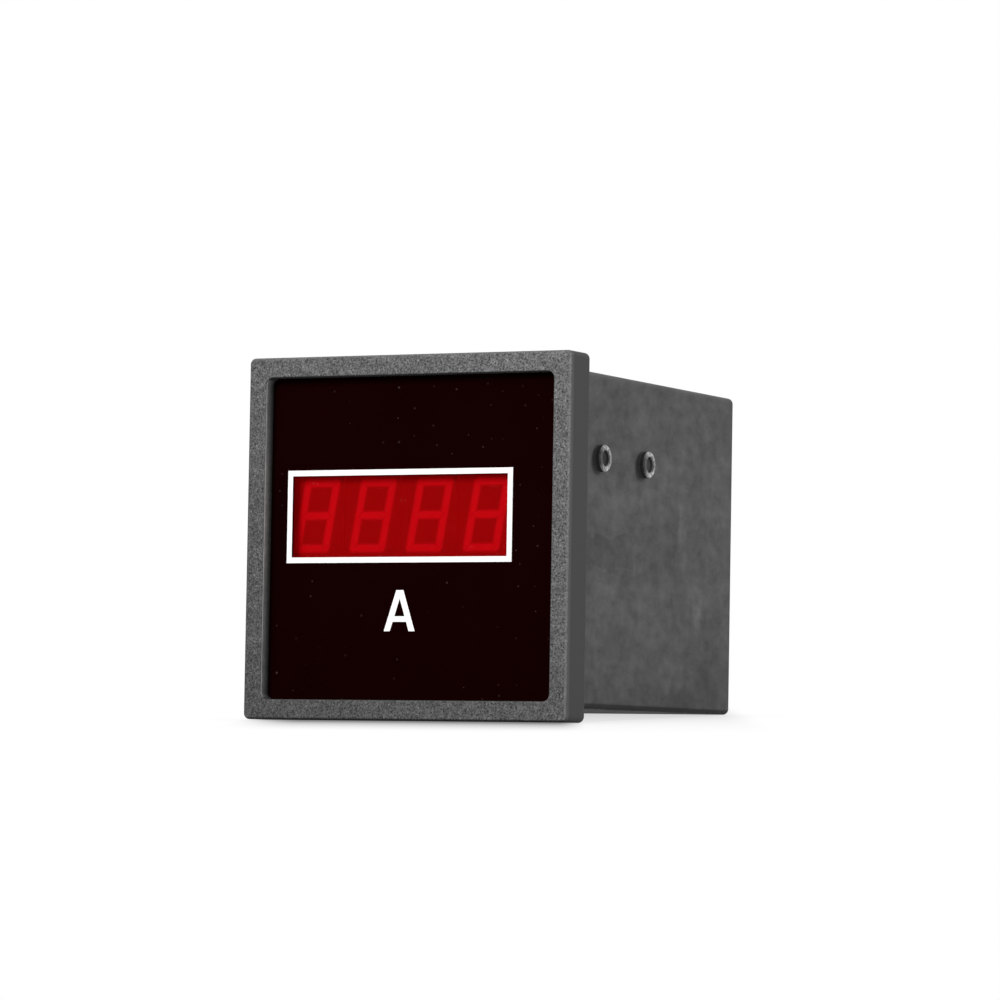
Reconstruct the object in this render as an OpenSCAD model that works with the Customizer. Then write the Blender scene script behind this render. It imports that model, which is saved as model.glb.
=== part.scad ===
// Flush-mounted digital panel meter, 72 mm square front, four-digit red display.
// X runs to the right of the front, Y runs back into the panel, Z is up.
// The origin is the middle of the plane where the bezel seats on the panel.

/* [Bezel] */
// Side of the square front bezel
bezel_w = 72; // [66:0.5:80]
// Depth of the bezel in front of the panel
bezel_d = 8; // [7:0.5:12]
// Radius of the bezel's four corners
bezel_corner = 1.2; // [1:0.1:3]
// Rounding of the bezel's front outer edge
bezel_front_round = 0.5; // [0.2:0.1:0.8]
// Rounding of the bezel's rear outer edge
bezel_back_round = 0.7; // [0.2:0.1:0.8]
// Width of the bezel's face round the opening
rim_w = 4; // [3.7:0.1:6]
// Radius in the corners of the opening
aperture_corner = 1.4; // [1.1:0.1:3]
// Rounding of the opening's front edge
aperture_round = 0.3; // [0.1:0.05:0.5]
// How far the dial lies behind the bezel's front
dial_recess = 2.85; // [1.5:0.05:3.5]
// Gap all round between the bezel and what slides into it
bezel_gap = 0.15; // [0.1:0.05:0.3]
// Radius of the snap beads inside the bezel
bead_r = 0.8; // [0.6:0.1:1]
// Length of each snap bead
bead_l = 22; // [10:1:40]
// How far the snap beads stand behind the case mouth
bead_set_back = 1.6; // [1.3:0.1:2]
// Gap between a snap bead and its groove in the case
bead_gap = 0.1; // [0.05:0.05:0.2]

/* [Dial and filter] */
// Thickness of the printed dial foil
foil_t = 0.4; // [0.2:0.05:0.8]
// Thickness of the red filter plate
filter_t = 1.6; // [1:0.1:2.5]
// How much narrower the clear window is than the row of display modules
window_trim = 2.7; // [2:0.1:6]
// Height of the clear window in the foil
window_h = 16.2; // [14:0.1:20]
// Width of the raised line round the window
border_w = 1.1; // [0.6:0.1:2]
// Height of the raised line above the foil
border_t = 0.1; // [0.05:0.05:0.3]
// Distance from the opening's left edge to the raised line
window_left = 3.75; // [3:0.05:5]
// Distance from the opening's upper edge to the raised line
window_top = 18.45; // [14:0.05:20]

/* [Display] */
// Distance from one digit to the next
digit_pitch = 12.7; // [12:0.1:14]
// Gap between neighbouring display modules
digit_gap = 0.15; // [0.1:0.05:0.5]
// Height of a display module
module_h = 19; // [17:0.5:22]
// Depth of a display module
digit_d = 8; // [6:0.5:9]
// Height of a lit digit
digit_h = 14.6; // [12:0.1:15]
// Width of a lit digit, before it is slanted
digit_w = 8; // [6:0.1:8.2]
// Width of one segment
stroke = 1.6; // [0.9:0.1:1.8]
// Gap left at the mitred ends of the segments
mitre_gap = 0.2; // [0.15:0.05:0.6]
// Slant of the digits
slant = 10; // [0:1:12]
// Radius of the decimal points
point_r = 0.75; // [0.5:0.05:0.9]
// Distance of a decimal point from the middle of the right-hand bars
point_reach = 2.1; // [2:0.1:2.3]
// Wall thickness of a display shell
shell_wall = 0.8; // [0.6:0.1:1]
// Thickness of the base that joins a diffuser's bars
diffuser_t = 2.4; // [1.6:0.1:3]
// Fit between a display shell and its diffuser
cell_gap = 0.03; // [0.02:0.01:0.06]
// Gap between the filter plate and the display
display_gap = 0.5; // [0.3:0.1:2]
// Sideways shift of the digits against the window
digit_shift_x = -0.8; // [-1:0.1:1]
// Upward shift of the digits against the window
digit_shift_z = 0.3; // [-0.6:0.1:0.6]

/* [Case] */
// How far the bezel stands out past the case's sides
lip_w = 3.2; // [2.8:0.1:3.6]
// How far the bezel stands out over and under the case
lip_h = 2.8; // [2.8:0.1:3.6]
// Depth of the case behind the panel
case_depth = 75; // [68:0.5:90]
// Wall thickness of the case
case_wall = 2; // [1.6:0.1:2.4]
// Draft of each side from mouth to rear
case_draft = 0.3; // [0.1:0.05:0.6]
// Radius of the case's long edges and rear corners
case_corner = 1.2; // [0.8:0.1:2]
// Radius of the clamp pegs
peg_r = 2.7; // [2:0.1:3.5]
// Height of the clamp pegs above the mouth's side
peg_h = 1.5; // [1:0.1:1.7]
// Radius of the dish in a peg's face
peg_dish_r = 1.7; // [1:0.1:1.9]
// Depth of the dish in a peg's face
peg_dish_d = 0.6; // [0.3:0.1:0.9]
// Distance of the first peg behind the panel
peg_y = 11; // [8:0.5:20]
// Distance between the two pegs of a side
peg_pitch = 20; // [15:0.5:30]
// Height of the pegs off the middle
peg_z = 16.2; // [5:0.1:26]
// Number of vent slots in the rear wall
vent_n = 9; // [3:1:10]
// Distance between vent slots
vent_pitch = 5; // [4:0.5:5]
// Width of a vent slot
vent_w = 1.8; // [1:0.1:2.4]
// Height of a vent slot
vent_h = 20; // [8:1:22]
// Height of the vent slots' middle
vent_z = 14; // [12:0.5:16]

/* [Boards] */
// Thickness of both circuit boards
board_t = 1.6; // [1:0.1:2]
// Gap between a board's edge and the case
board_gap = 0.3; // [0.2:0.05:0.5]
// Height of the main board's upper face above the case's lower side
board_rise = 11.2; // [11:0.1:13]
// Gap between the main board and the display board
board_space = 1; // [0.6:0.1:2]
// Gap between a board's faces and its guide rails
rail_gap = 0.1; // [0.05:0.05:0.2]
// How far the guide rails stand in from the wall
rail_w = 2; // [1.5:0.1:2.4]
// Thickness of a guide rail
rail_t = 1.4; // [1:0.1:1.8]
// Radius of the case's four board posts
post_r = 3.2; // [3:0.1:3.6]
// Radius of the board screws' shanks
board_screw_r = 1; // [0.8:0.05:1.2]
// Length of the board screws' shanks
board_screw_l = 8; // [6:0.5:12]
// Radius of the board screws' heads
board_head_r = 2; // [1.8:0.1:2.4]
// Height of the board screws' heads
board_head_h = 1.4; // [1:0.1:1.8]
// Width of the slot in a board screw's head
board_slot_w = 0.45; // [0.3:0.05:0.6]
// Depth of the slot in a board screw's head
board_slot_d = 0.55; // [0.3:0.05:0.8]
// Gap round a screw's shank where its thread holds
screw_gap = 0.05; // [0.03:0.01:0.08]
// Gap round a screw's shank where it only passes through
pass_gap = 0.2; // [0.1:0.05:0.3]

/* [Terminals] */
// Distance between terminals
pole_pitch = 11; // [10.5:0.25:11.5]
// Thickness of the barriers between terminals
barrier_t = 1.6; // [1:0.1:2]
// Height of a terminal compartment
cell_h = 15.4; // [14.5:0.1:16]
// Depth of a terminal compartment
cell_depth = 8.6; // [8:0.1:10]
// Thickness of the block under and over the compartments
block_wall = 1.6; // [1.2:0.1:2]
// Depth of the block in front of the compartments
block_core = 8.4; // [8:0.1:9.5]
// How far the block stops short of the rear face
block_recess = 0.4; // [0:0.1:1]
// Width of the block's flange behind the rear wall
flange_w = 1.6; // [1:0.1:2]
// Thickness of the block's flange
flange_t = 1.8; // [1:0.1:2.5]
// Gap between the block and the rear wall
block_gap = 0.2; // [0.1:0.05:0.3]
// Thickness of the contact strips
contact_t = 0.8; // [0.6:0.1:1]
// Width of a contact's solder tail
tail_w = 2.4; // [2:0.1:3]
// Length of a solder tail below the main board
tail_l = 1; // [0.6:0.1:2]
// Gap round a solder tail in the board and the block
tail_gap = 0.1; // [0.05:0.05:0.2]
// Thickness of a clamp plate
clamp_t = 1; // [0.8:0.1:1.2]
// Height of a clamp plate
clamp_h = 7.6; // [7:0.1:8]
// Gap between a compartment's walls and its contact strip and clamp plate
clamp_gap = 0.3; // [0.2:0.05:0.4]
// Travel of a clamp plate
clamp_lift = 2; // [1.5:0.1:2.5]
// Radius of the terminal screws' shanks
screw_r = 1.5; // [1.25:0.05:1.75]
// Length of the terminal screws' shanks
screw_l = 8; // [7:0.1:8]
// Radius of the terminal screws' heads
head_r = 3; // [2.6:0.1:3.4]
// Height of the terminal screws' heads
head_h = 2.2; // [1.8:0.1:2.6]
// Width of the slot in a screw's head
slot_w = 0.9; // [0.6:0.1:1.2]
// Depth of the slot in a screw's head
slot_d = 1.1; // [0.7:0.1:1.4]
// Radius of the threaded collar on a contact strip
collar_r = 2.6; // [2.3:0.1:2.8]
// Length of the threaded collar on a contact strip
collar_l = 2.4; // [2:0.1:3]
// Gap round a collar in the block
collar_gap = 0.1; // [0.05:0.05:0.2]
// Space in the block past the tip of a terminal screw
tip_gap = 0.6; // [0.3:0.1:1]
// Height of a screw's axis above the compartment's floor
screw_rise = 5.2; // [4.8:0.1:5.4]

/* [Trimmers] */
// Side of a trimmer's square body
trimmer_w = 6.8; // [6:0.1:7.5]
// Depth of a trimmer's body
trimmer_d = 4; // [3.5:0.1:4.5]
// Radius of a trimmer's rotor
rotor_r = 2.4; // [2:0.1:2.6]
// Depth of a trimmer's rotor
rotor_d = 1.8; // [1.4:0.1:2.2]
// Running gap round a trimmer's rotor
rotor_gap = 0.08; // [0.05:0.01:0.1]
// Distance between the two trimmers
trimmer_pitch = 10; // [8:0.5:12]
// Distance of the last trimmer's axis from the display board's right edge
trimmer_inset = 10; // [8:0.5:12]

/* [Transformer] */
// Width of the transformer's laminations
core_w = 30; // [28:0.5:30]
// Height of the transformer's laminations
core_h = 25; // [23:0.5:28]
// Thickness of the lamination stack
core_stack = 15.5; // [13:0.5:16]
// Width of the outer legs and yokes
core_limb = 2.5; // [2.2:0.1:3]
// Width of the middle leg
core_leg = 10; // [9:0.5:11]
// Gap between the bobbin and the laminations
bobbin_gap = 0.1; // [0.05:0.05:0.2]
// Wall thickness of the bobbin
bobbin_t = 0.8; // [0.6:0.1:1]
// How far the bobbin stands out past the stack
bobbin_reach = 4.6; // [4:0.1:5]
// Gap between the winding and the bobbin
winding_gap = 0.1; // [0.05:0.05:0.2]
// How far the winding stays inside the bobbin's flanges
winding_inset = 0.5; // [0.3:0.1:0.8]
// Radius of the winding's upright edges
winding_round = 1.8; // [1:0.1:2.5]
// Gap between the transformer and the terminal block
core_space = 0.8; // [0.5:0.1:1.5]

/* [Current sensor] */
// Outer radius of the current transformer
ring_r = 8.5; // [8:0.1:9.5]
// Radius of its hole
ring_hole_r = 3.4; // [2.5:0.1:4]
// Thickness of the current transformer
ring_t = 8; // [7:0.1:9]
// Height of its foot
ring_foot_h = 3; // [2:0.1:4]
// Width of its foot
ring_foot_w = 14; // [12:0.5:16]
// Gap between its wire and the terminal block
ring_space = 0.8; // [0.4:0.1:1.2]
// Radius of the heavy wire through it
link_r = 1.2; // [0.8:0.1:1.4]
// Radius of the wire's bends, along its middle
link_bend = 2.6; // [2:0.1:2.8]
// Gap between the wire's feet and the current transformer
link_gap = 1; // [0.6:0.1:1.5]

/* [Board parts] */
// Length of the converter chip
chip_l = 26; // [20:0.5:28.5]
// Distance between a chip's two rows of legs
chip_row = 7.62; // [7.4:0.02:7.8]
// Width of a chip's body
chip_w = 6.6; // [6:0.1:6.9]
// Height of a chip's body
chip_t = 3.3; // [3:0.1:3.8]
// Height of a chip's body above its board
chip_rise = 0.6; // [0.4:0.1:0.8]
// Length of the driver chip
driver_l = 20; // [16:0.5:24]
// Distance of the chips' left ends from the display board's left edge
chip_inset = 9; // [7:0.5:10]
// Number of pins in the board header
header_n = 16; // [10:1:18]
// Side of the header's square body
header_w = 2.5; // [2.2:0.1:2.8]
// Distance of the header's body from the main board's front edge
header_inset = 0.6; // [0.2:0.1:1]
// Thickness of a header pin
pin_t = 0.64; // [0.5:0.02:0.7]
// Radius of the reservoir capacitor
reservoir_r = 5; // [4:0.1:6]
// Height of the reservoir capacitor
reservoir_h = 20; // [16:0.5:30]
// Radius of the output capacitor
output_r = 3; // [2.5:0.1:4]
// Height of the output capacitor
output_h = 12; // [8:0.5:20]
// Radius of the bridge rectifier
bridge_r = 4.4; // [4:0.1:4.5]
// Height of the bridge rectifier's body
bridge_h = 5.4; // [5:0.1:6]
// Width of the heat sink
sink_w = 18; // [16:0.5:20]
// Height of the heat sink
sink_h = 22; // [18:0.5:26]
// Thickness of the heat sink's sheet
sink_t = 1.5; // [1:0.1:1.8]
// Depth of the heat sink's side wings
sink_wing = 6; // [5:0.5:8]
// Width of the voltage regulator
regulator_w = 10; // [9.5:0.1:10.5]
// Thickness of the regulator's body
regulator_t = 4.4; // [4:0.1:4.8]
// Thickness of the regulator's metal tab
tab_t = 1.3; // [1:0.1:1.5]
// Height of the regulator's body above the board
regulator_rise = 4; // [3:0.1:5]
// Height of the regulator's body
regulator_h = 9; // [8.5:0.1:9.5]
// Height of the regulator's tab
tab_h = 6; // [6:0.1:7]
// Radius of the sink screw's shank
sink_screw_r = 1.5; // [1.25:0.05:1.6]
// Radius of the sink screw's head
sink_head_r = 2.7; // [2.4:0.1:3]
// Height of the sink screw's head
sink_head_h = 1.8; // [1.5:0.1:2.2]
// Body radius of a resistor
resistor_r = 1.2; // [0.9:0.1:1.3]
// Body length of a resistor
resistor_l = 6.3; // [5:0.1:7]
// Distance between a resistor's feet
resistor_span = 7.62; // [7.2:0.02:10.2]
// Number of resistors in the row
resistor_n = 3; // [1:1:3]
// Distance between resistors
resistor_pitch = 3; // [2.8:0.1:3.2]
// Radius of the resistors' and rectifier's wires
wire_r = 0.35; // [0.25:0.05:0.4]
// Length of a film capacitor
film_l = 7.2; // [6:0.1:9]
// Thickness of a film capacitor
film_t = 2.6; // [2:0.1:2.8]
// Distance from one film capacitor to the next
film_pitch = 3.2; // [3.1:0.1:3.6]
// Height of a film capacitor
film_h = 6.5; // [5:0.1:9]
// Number of film capacitors
film_n = 3; // [1:1:3]

/* [Hidden] */
$fn = 48;
// Facets of what a hull spans
hull_fn = 32;
// Number of digits and of terminals, each of which is a part of its own
digits = 4;
poles = 4;
// Distance between the legs of a chip, a header or a regulator
leg_pitch = 2.54;
// Overlap used where one shape is cut out of, or joined into, another
bite = 1;
// Thickness of the thin slices that a hull spans
skin = 0.01;
// Radius inside the case's corners
inner_corner = 0.8;
// Corner radius of the boards, blocks and slots
small_round = 0.6;
// Air left between neighbouring parts on the main board
part_space = 1.2;
// Air left between the guide rails and those parts
rail_space = 1;

// Outer sizes that follow the front's
aperture_w = bezel_w - 2 * rim_w;
case_w = bezel_w - 2 * lip_w;
case_h = bezel_w - 2 * lip_h;

// Planes across the depth, from front to rear
foil_y = dial_recess - bezel_d;
filter_y = foil_y + foil_t;
mouth_y = filter_y + filter_t;
digit_y = mouth_y + display_gap;
display_y = digit_y + digit_d;
display_back = display_y + board_t;
main_front = display_back + board_space;
rear_inside = case_depth - case_wall;

// Room inside the case just in front of its rear wall
inside_x = half_at(case_w, rear_inside) - case_wall;
inside_z = half_at(case_h, rear_inside) - case_wall;
board_x = inside_x - board_gap;
display_h = inside_z - board_gap;
main_rear = rear_inside - board_gap;
post_x = inside_x - post_r;
post_z = inside_z - post_r;
part_x = inside_x - rail_w - rail_space;
board_z = board_rise - case_h / 2;

// Display
window_w = digits * digit_pitch - window_trim;
window_x = window_left + border_w + (window_w - aperture_w) / 2;
window_z = (aperture_w - window_h) / 2 - window_top - border_w;
display_x = window_x + digit_shift_x;
display_z = window_z + digit_shift_z;
module_w = digit_pitch - digit_gap;
bar_x = (digit_w - stroke) / 2;
bar_z = (digit_h - stroke) / 2;
point_x = bar_x + point_reach;

// Terminal block
cell_w = pole_pitch - barrier_t;
block_w = poles * pole_pitch + barrier_t;
block_h = cell_h + 2 * block_wall;
block_back = case_depth - block_recess;
cell_y = block_back - cell_depth;
block_front = cell_y - block_core;
cell_z = board_z + block_wall;
screw_z = cell_z + screw_rise;
clamp_w = cell_w - 2 * clamp_gap;
clamp_y = cell_y + contact_t;
head_y = clamp_y + clamp_t;
screw_bore_d = screw_l - contact_t - clamp_t + tip_gap;

// Chips and trimmers on the display board, in rows under the display modules
row_z = display_z - module_h / 2 - part_space;
chip_left = chip_inset - board_x;
driver_z = row_z - chip_row / 2;
chip_z = driver_z - chip_row - part_space;
trimmer_x = board_x - trimmer_inset - trimmer_pitch;
trimmer_z = row_z - trimmer_w / 2;

// Parts on the main board: a row behind the header, then the power supply and the sensor
header_y = main_front + header_inset;
row_y = header_y + header_w + 2 * pin_t + part_space;
sink_x = sink_w / 2 - part_x;
sink_y = row_y + sink_wing;
tab_z = board_z + regulator_rise + regulator_h + tab_h / 2;
resistor_x = sink_x + sink_w / 2 + part_space + resistor_r;
film_x = resistor_x + (resistor_n - 1) * resistor_pitch + resistor_r + part_space;
bridge_x = part_x - bridge_r;
bridge_y = row_y + 2 * reservoir_r + part_space + bridge_r;
output_x = bridge_x - bridge_r - part_space - output_r;
core_x = core_w / 2 - part_x;
core_y = block_front - core_space - core_stack / 2 - bobbin_reach;
link_span = ring_t + 2 * (link_gap + link_r);
ring_x = part_x - ring_r;
ring_y = block_front - ring_space - link_span / 2 - link_r;
ring_z = board_z + ring_r + wire_r;

// Inside and outside of the transformer's bobbin, seen from above
leg_x = core_leg / 2 + bobbin_gap;
leg_y = core_stack / 2 + bobbin_gap;
flange_x = core_w / 2 - core_limb - bobbin_gap;
flange_y = core_stack / 2 + bobbin_reach;
bobbin_z = board_z + core_limb + bobbin_gap;
bobbin_h = core_h - 2 * (core_limb + bobbin_gap);

// Half of the case's outer width or height at depth y
function half_at(size, y) = size / 2 - case_draft * (y - mouth_y) / (case_depth - mouth_y);

// Sideways place of terminal i, counted from 0
function pole_x(i) = (i - (poles - 1) / 2) * pole_pitch;

// Six-cornered bar with mitred ends, lying along X
function bar(l, w) = [
    [-l / 2, 0], [-l / 2 + w / 2, w / 2], [l / 2 - w / 2, w / 2],
    [l / 2, 0], [l / 2 - w / 2, -w / 2], [-l / 2 + w / 2, -w / 2]
];

// A bar's corner turned upright where needed, moved to its place and slanted
function placed(p, x, z, upright) = upright
    ? [x + p[1] + (z + p[0]) * tan(slant), z + p[0]]
    : [x + p[0] + (z + p[1]) * tan(slant), z + p[1]];

// Turns a drawing of the front so that its paper faces the viewer at depth y
module facing(y) {
    translate([0, y, 0])
        rotate([90, 0, 0])
            children();
}

// Extrudes an outline seen from the front, from depth y0 back to y1
module slab(y0, y1) {
    facing(y1)
        linear_extrude(height = y1 - y0)
            children();
}

// Rectangle with round corners, centred
module rounded(w, h, r) {
    square([w - 2 * r, h], center = true);
    square([w, h - 2 * r], center = true);
    for (sx = [-1, 1], sz = [-1, 1])
        translate([sx * (w / 2 - r), sz * (h / 2 - r)])
            circle(r);
}

// Repeats a shape in the four corners of a rectangle
module corners(x, z) {
    for (sx = [-1, 1], sz = [-1, 1])
        translate([sx * x, 0, sz * z])
            children();
}

// What a round of radius r takes off an edge; the edge is at the origin
module edge_profile(r) {
    difference() {
        translate([-r, -r])
            square(r + bite);
        translate([-r, -r])
            circle(r);
    }
}

// Takes the outer upper edge off a plate of w by h whose top is at z = 0
module outer_edge_cut(w, h, corner, r) {
    for (m = [0, 1])
        mirror([m, 0, 0])
            translate([w / 2, 0, 0])
                rotate([90, 0, 0])
                    linear_extrude(height = h - 2 * corner, center = true)
                        edge_profile(r);
    for (m = [0, 1])
        mirror([0, m, 0])
            translate([0, h / 2, 0])
                rotate([90, 0, 90])
                    linear_extrude(height = w - 2 * corner, center = true)
                        edge_profile(r);
    for (mx = [0, 1], my = [0, 1])
        mirror([mx, 0, 0])
            mirror([0, my, 0])
                translate([w / 2 - corner, h / 2 - corner, 0])
                    rotate_extrude(angle = 90)
                        translate([corner, 0])
                            edge_profile(r);
}

// Takes the upper edge off a w by h opening whose top is at z = 0
module opening_edge_cut(w, h, corner, r) {
    for (m = [0, 1])
        mirror([m, 0, 0])
            translate([w / 2, 0, 0])
                rotate([90, 0, 0])
                    linear_extrude(height = h - 2 * corner, center = true)
                        mirror([1, 0])
                            edge_profile(r);
    for (m = [0, 1])
        mirror([0, m, 0])
            translate([0, h / 2, 0])
                rotate([90, 0, 90])
                    linear_extrude(height = w - 2 * corner, center = true)
                        mirror([1, 0])
                            edge_profile(r);
    for (mx = [0, 1], my = [0, 1])
        mirror([mx, 0, 0])
            mirror([0, my, 0])
                translate([w / 2 - corner, h / 2 - corner, 0])
                    rotate_extrude(angle = 90)
                        translate([corner, 0])
                            mirror([1, 0])
                                edge_profile(r);
}

// The four snap beads, or with a larger radius the grooves they drop into.
// A quarter of a bead's radius stays in the bezel's wall.
module snap_beads(r, l) {
    along_x = case_w / 2 + bezel_gap + bead_r / 4;
    along_z = case_h / 2 + bezel_gap + bead_r / 4;
    translate([0, mouth_y + bead_set_back, 0]) {
        for (s = [-1, 1]) {
            translate([s * along_x, 0, 0])
                cylinder(r = r, h = l, center = true);
            translate([0, 0, s * along_z])
                rotate([0, 90, 0])
                    cylinder(r = r, h = l, center = true);
        }
    }
}

module bezel() {
    color([0.25, 0.25, 0.25])
        union() {
            facing(0)
                difference() {
                    linear_extrude(height = bezel_d)
                        rounded(bezel_w, bezel_w, bezel_corner);
                    translate([0, 0, -bite])
                        linear_extrude(height = bezel_d + 2 * bite)
                            rounded(aperture_w, aperture_w, aperture_corner);
                    translate([0, 0, -bite])
                        linear_extrude(height = bezel_d - dial_recess + bite)
                            rounded(
                                case_w + 2 * bezel_gap,
                                case_h + 2 * bezel_gap,
                                case_corner + bezel_gap
                            );
                    translate([0, 0, bezel_d])
                        outer_edge_cut(bezel_w, bezel_w, bezel_corner, bezel_front_round);
                    mirror([0, 0, 1])
                        outer_edge_cut(bezel_w, bezel_w, bezel_corner, bezel_back_round);
                    translate([0, 0, bezel_d])
                        opening_edge_cut(aperture_w, aperture_w, aperture_corner, aperture_round);
                }
            snap_beads(bead_r, bead_l);
        }
}

module dial_foil() {
    color([0.07, 0.02, 0.02])
        difference() {
            union() {
                slab(foil_y, filter_y)
                    rounded(case_w, case_h, case_corner);
                translate([window_x, 0, window_z])
                    slab(foil_y - border_t, filter_y)
                        square([window_w + 2 * border_w, window_h + 2 * border_w], center = true);
            }
            translate([window_x, 0, window_z])
                slab(foil_y - bite, filter_y + bite)
                    square([window_w, window_h], center = true);
        }
}

module filter_plate() {
    color([0.6, 0.02, 0.03, 0.6])
        slab(filter_y, mouth_y)
            rounded(case_w, case_h, case_corner);
}

// The case's outer form: a drafted box with round long edges and a round rear rim
module case_form() {
    hull() {
        slab(mouth_y, mouth_y + skin)
            rounded(case_w, case_h, case_corner, $fn = hull_fn);
        for (a = [0 : 15 : 90])
            case_rim(case_depth - case_corner * (1 - sin(a)), case_corner * cos(a));
    }
}

// One ring of the rear rim at depth y, where its corners have radius r
module case_rim(y, r) {
    inset = case_corner - r;
    slab(y - skin, y)
        rounded(
            2 * (half_at(case_w, case_depth) - inset),
            2 * (half_at(case_h, case_depth) - inset),
            max(r, skin),
            $fn = hull_fn
        );
}

// The hollow of the case at one depth
module case_room(y) {
    slab(y, y + skin)
        rounded(
            2 * (half_at(case_w, y) - case_wall),
            2 * (half_at(case_h, y) - case_wall),
            inner_corner,
            $fn = hull_fn
        );
}

// Post in each corner that carries the display board
module board_posts() {
    slab(display_back, rear_inside + bite)
        for (sx = [-1, 1], sz = [-1, 1]) {
            translate([sx * post_x, sz * post_z])
                circle(post_r);
            translate([sx * (post_x + post_r), sz * (post_z + post_r)])
                square(2 * post_r, center = true);
        }
}

// Two rails on each side wall that the main board slides between
module guide_rails() {
    low = board_z - board_t - rail_gap - rail_t;
    high = board_z + rail_gap;
    for (s = [-1, 1], z = [low, high])
        translate([s * (inside_x - rail_w / 2 + bite / 2), main_front, z])
            translate([-(rail_w + bite) / 2, 0, 0])
                cube([rail_w + bite, rear_inside - main_front + bite, rail_t]);
}

// Round peg with a dished face, standing on z = 0 and rooted in the wall
module clamp_peg() {
    lip = 0.3;
    root = case_wall / 2;
    rotate_extrude()
        polygon([
            [0, -root], [peg_r, -root], [peg_r, peg_h - lip], [peg_r - lip, peg_h],
            [peg_dish_r, peg_h], [peg_dish_r - lip, peg_h - peg_dish_d],
            [0, peg_h - peg_dish_d]
        ]);
}

// Two pegs on each side; the left pair is the right pair turned half round
module clamp_pegs() {
    for (turn = [0, 180], i = [0, 1])
        rotate([0, turn, 0])
            translate([case_w / 2, peg_y + i * peg_pitch, peg_z])
                rotate([0, 90, 0])
                    clamp_peg();
}

module case() {
    color([0.3, 0.3, 0.3])
        difference() {
            union() {
                difference() {
                    case_form();
                    hull() {
                        case_room(mouth_y - bite);
                        case_room(rear_inside - skin);
                    }
                }
                intersection() {
                    case_form();
                    union() {
                        board_posts();
                        guide_rails();
                    }
                }
                clamp_pegs();
            }
            snap_beads(bead_r + bead_gap, bead_l + 2 * bead_gap);
            translate([0, display_back - bite, 0])
                corners(post_x, post_z)
                    rotate([-90, 0, 0])
                        cylinder(r = board_screw_r + screw_gap, h = board_screw_l - board_t + 2 * bite);
            translate([0, 0, board_z + block_h / 2])
                slab(rear_inside - bite, case_depth + bite)
                    rounded(block_w + 2 * block_gap, block_h + 2 * block_gap, small_round);
            translate([0, 0, vent_z])
                slab(rear_inside - bite, case_depth + bite)
                    for (i = [0 : vent_n - 1])
                        translate([(i - (vent_n - 1) / 2) * vent_pitch, 0])
                            rounded(vent_w, vent_h, vent_w / 3);
        }
}

// Seven bars and the decimal point of one digit, each smaller by inset all round
module digit_outline(inset) {
    w = stroke - 2 * inset;
    cut = mitre_gap + 3 * inset;
    for (z = [-bar_z, 0, bar_z])
        polygon([for (p = bar(2 * bar_x - cut, w)) placed(p, 0, z, false)]);
    for (x = [-bar_x, bar_x], z = [-bar_z / 2, bar_z / 2])
        polygon([for (p = bar(bar_z - cut, w)) placed(p, x, z, true)]);
    translate([point_x - bar_z * tan(slant), -bar_z])
        circle(point_r - inset);
}

// Puts a display part at the place of digit i, counted from 0
module at_digit(i) {
    translate([display_x + (i - (digits - 1) / 2) * digit_pitch, 0, display_z])
        facing(digit_y)
            children();
}

module digit(i) {
    color([0.45, 0.03, 0.04])
        at_digit(i)
            difference() {
                translate([-module_w / 2, -module_h / 2, -digit_d])
                    cube([module_w, module_h, digit_d]);
                translate([0, 0, -digit_d])
                    linear_extrude(height = digit_d + bite)
                        digit_outline(0);
                translate([0, 0, -digit_d - bite])
                    linear_extrude(height = diffuser_t + bite)
                        square([module_w - 2 * shell_wall, module_h - 2 * shell_wall], center = true);
            }
}

module diffuser(i) {
    color([0.8, 0.02, 0.04])
        at_digit(i) {
            translate([0, 0, -digit_d])
                linear_extrude(height = digit_d)
                    digit_outline(cell_gap);
            translate([0, 0, -digit_d])
                linear_extrude(height = diffuser_t - cell_gap)
                    square(
                        [module_w - 2 * (shell_wall + cell_gap), module_h - 2 * (shell_wall + cell_gap)],
                        center = true
                    );
        }
}

module digit_1() digit(0);
module digit_2() digit(1);
module digit_3() digit(2);
module digit_4() digit(3);
module diffuser_1() diffuser(0);
module diffuser_2() diffuser(1);
module diffuser_3() diffuser(2);
module diffuser_4() diffuser(3);

module display_board() {
    color([0.1, 0.35, 0.2])
        difference() {
            slab(display_y, display_back)
                rounded(2 * board_x, 2 * display_h, small_round);
            translate([0, display_y - bite, 0])
                corners(post_x, post_z)
                    rotate([-90, 0, 0])
                        cylinder(r = board_screw_r + pass_gap, h = board_t + 2 * bite);
        }
}

// Pan-headed screw along Y: shank from y = -l to 0, head from 0 to h
module pan_screw(shank_r, l, r, h, slot, slot_depth) {
    edge = h / 3;
    difference() {
        rotate([-90, 0, 0]) {
            translate([0, 0, -l])
                cylinder(r = shank_r, h = l + h / 2);
            rotate_extrude()
                union() {
                    square([r - edge, h]);
                    square([r, h - edge]);
                    translate([r - edge, h - edge])
                        circle(edge);
                }
        }
        translate([-r - bite, h - slot_depth, -slot / 2])
            cube([2 * (r + bite), slot_depth + bite, slot]);
    }
}

module board_screws() {
    color([0.75, 0.75, 0.72])
        translate([0, display_y, 0])
            corners(post_x, post_z)
                mirror([0, 1, 0])
                    pan_screw(board_screw_r, board_screw_l, board_head_r, board_head_h,
                        board_slot_w, board_slot_d);
}

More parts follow.
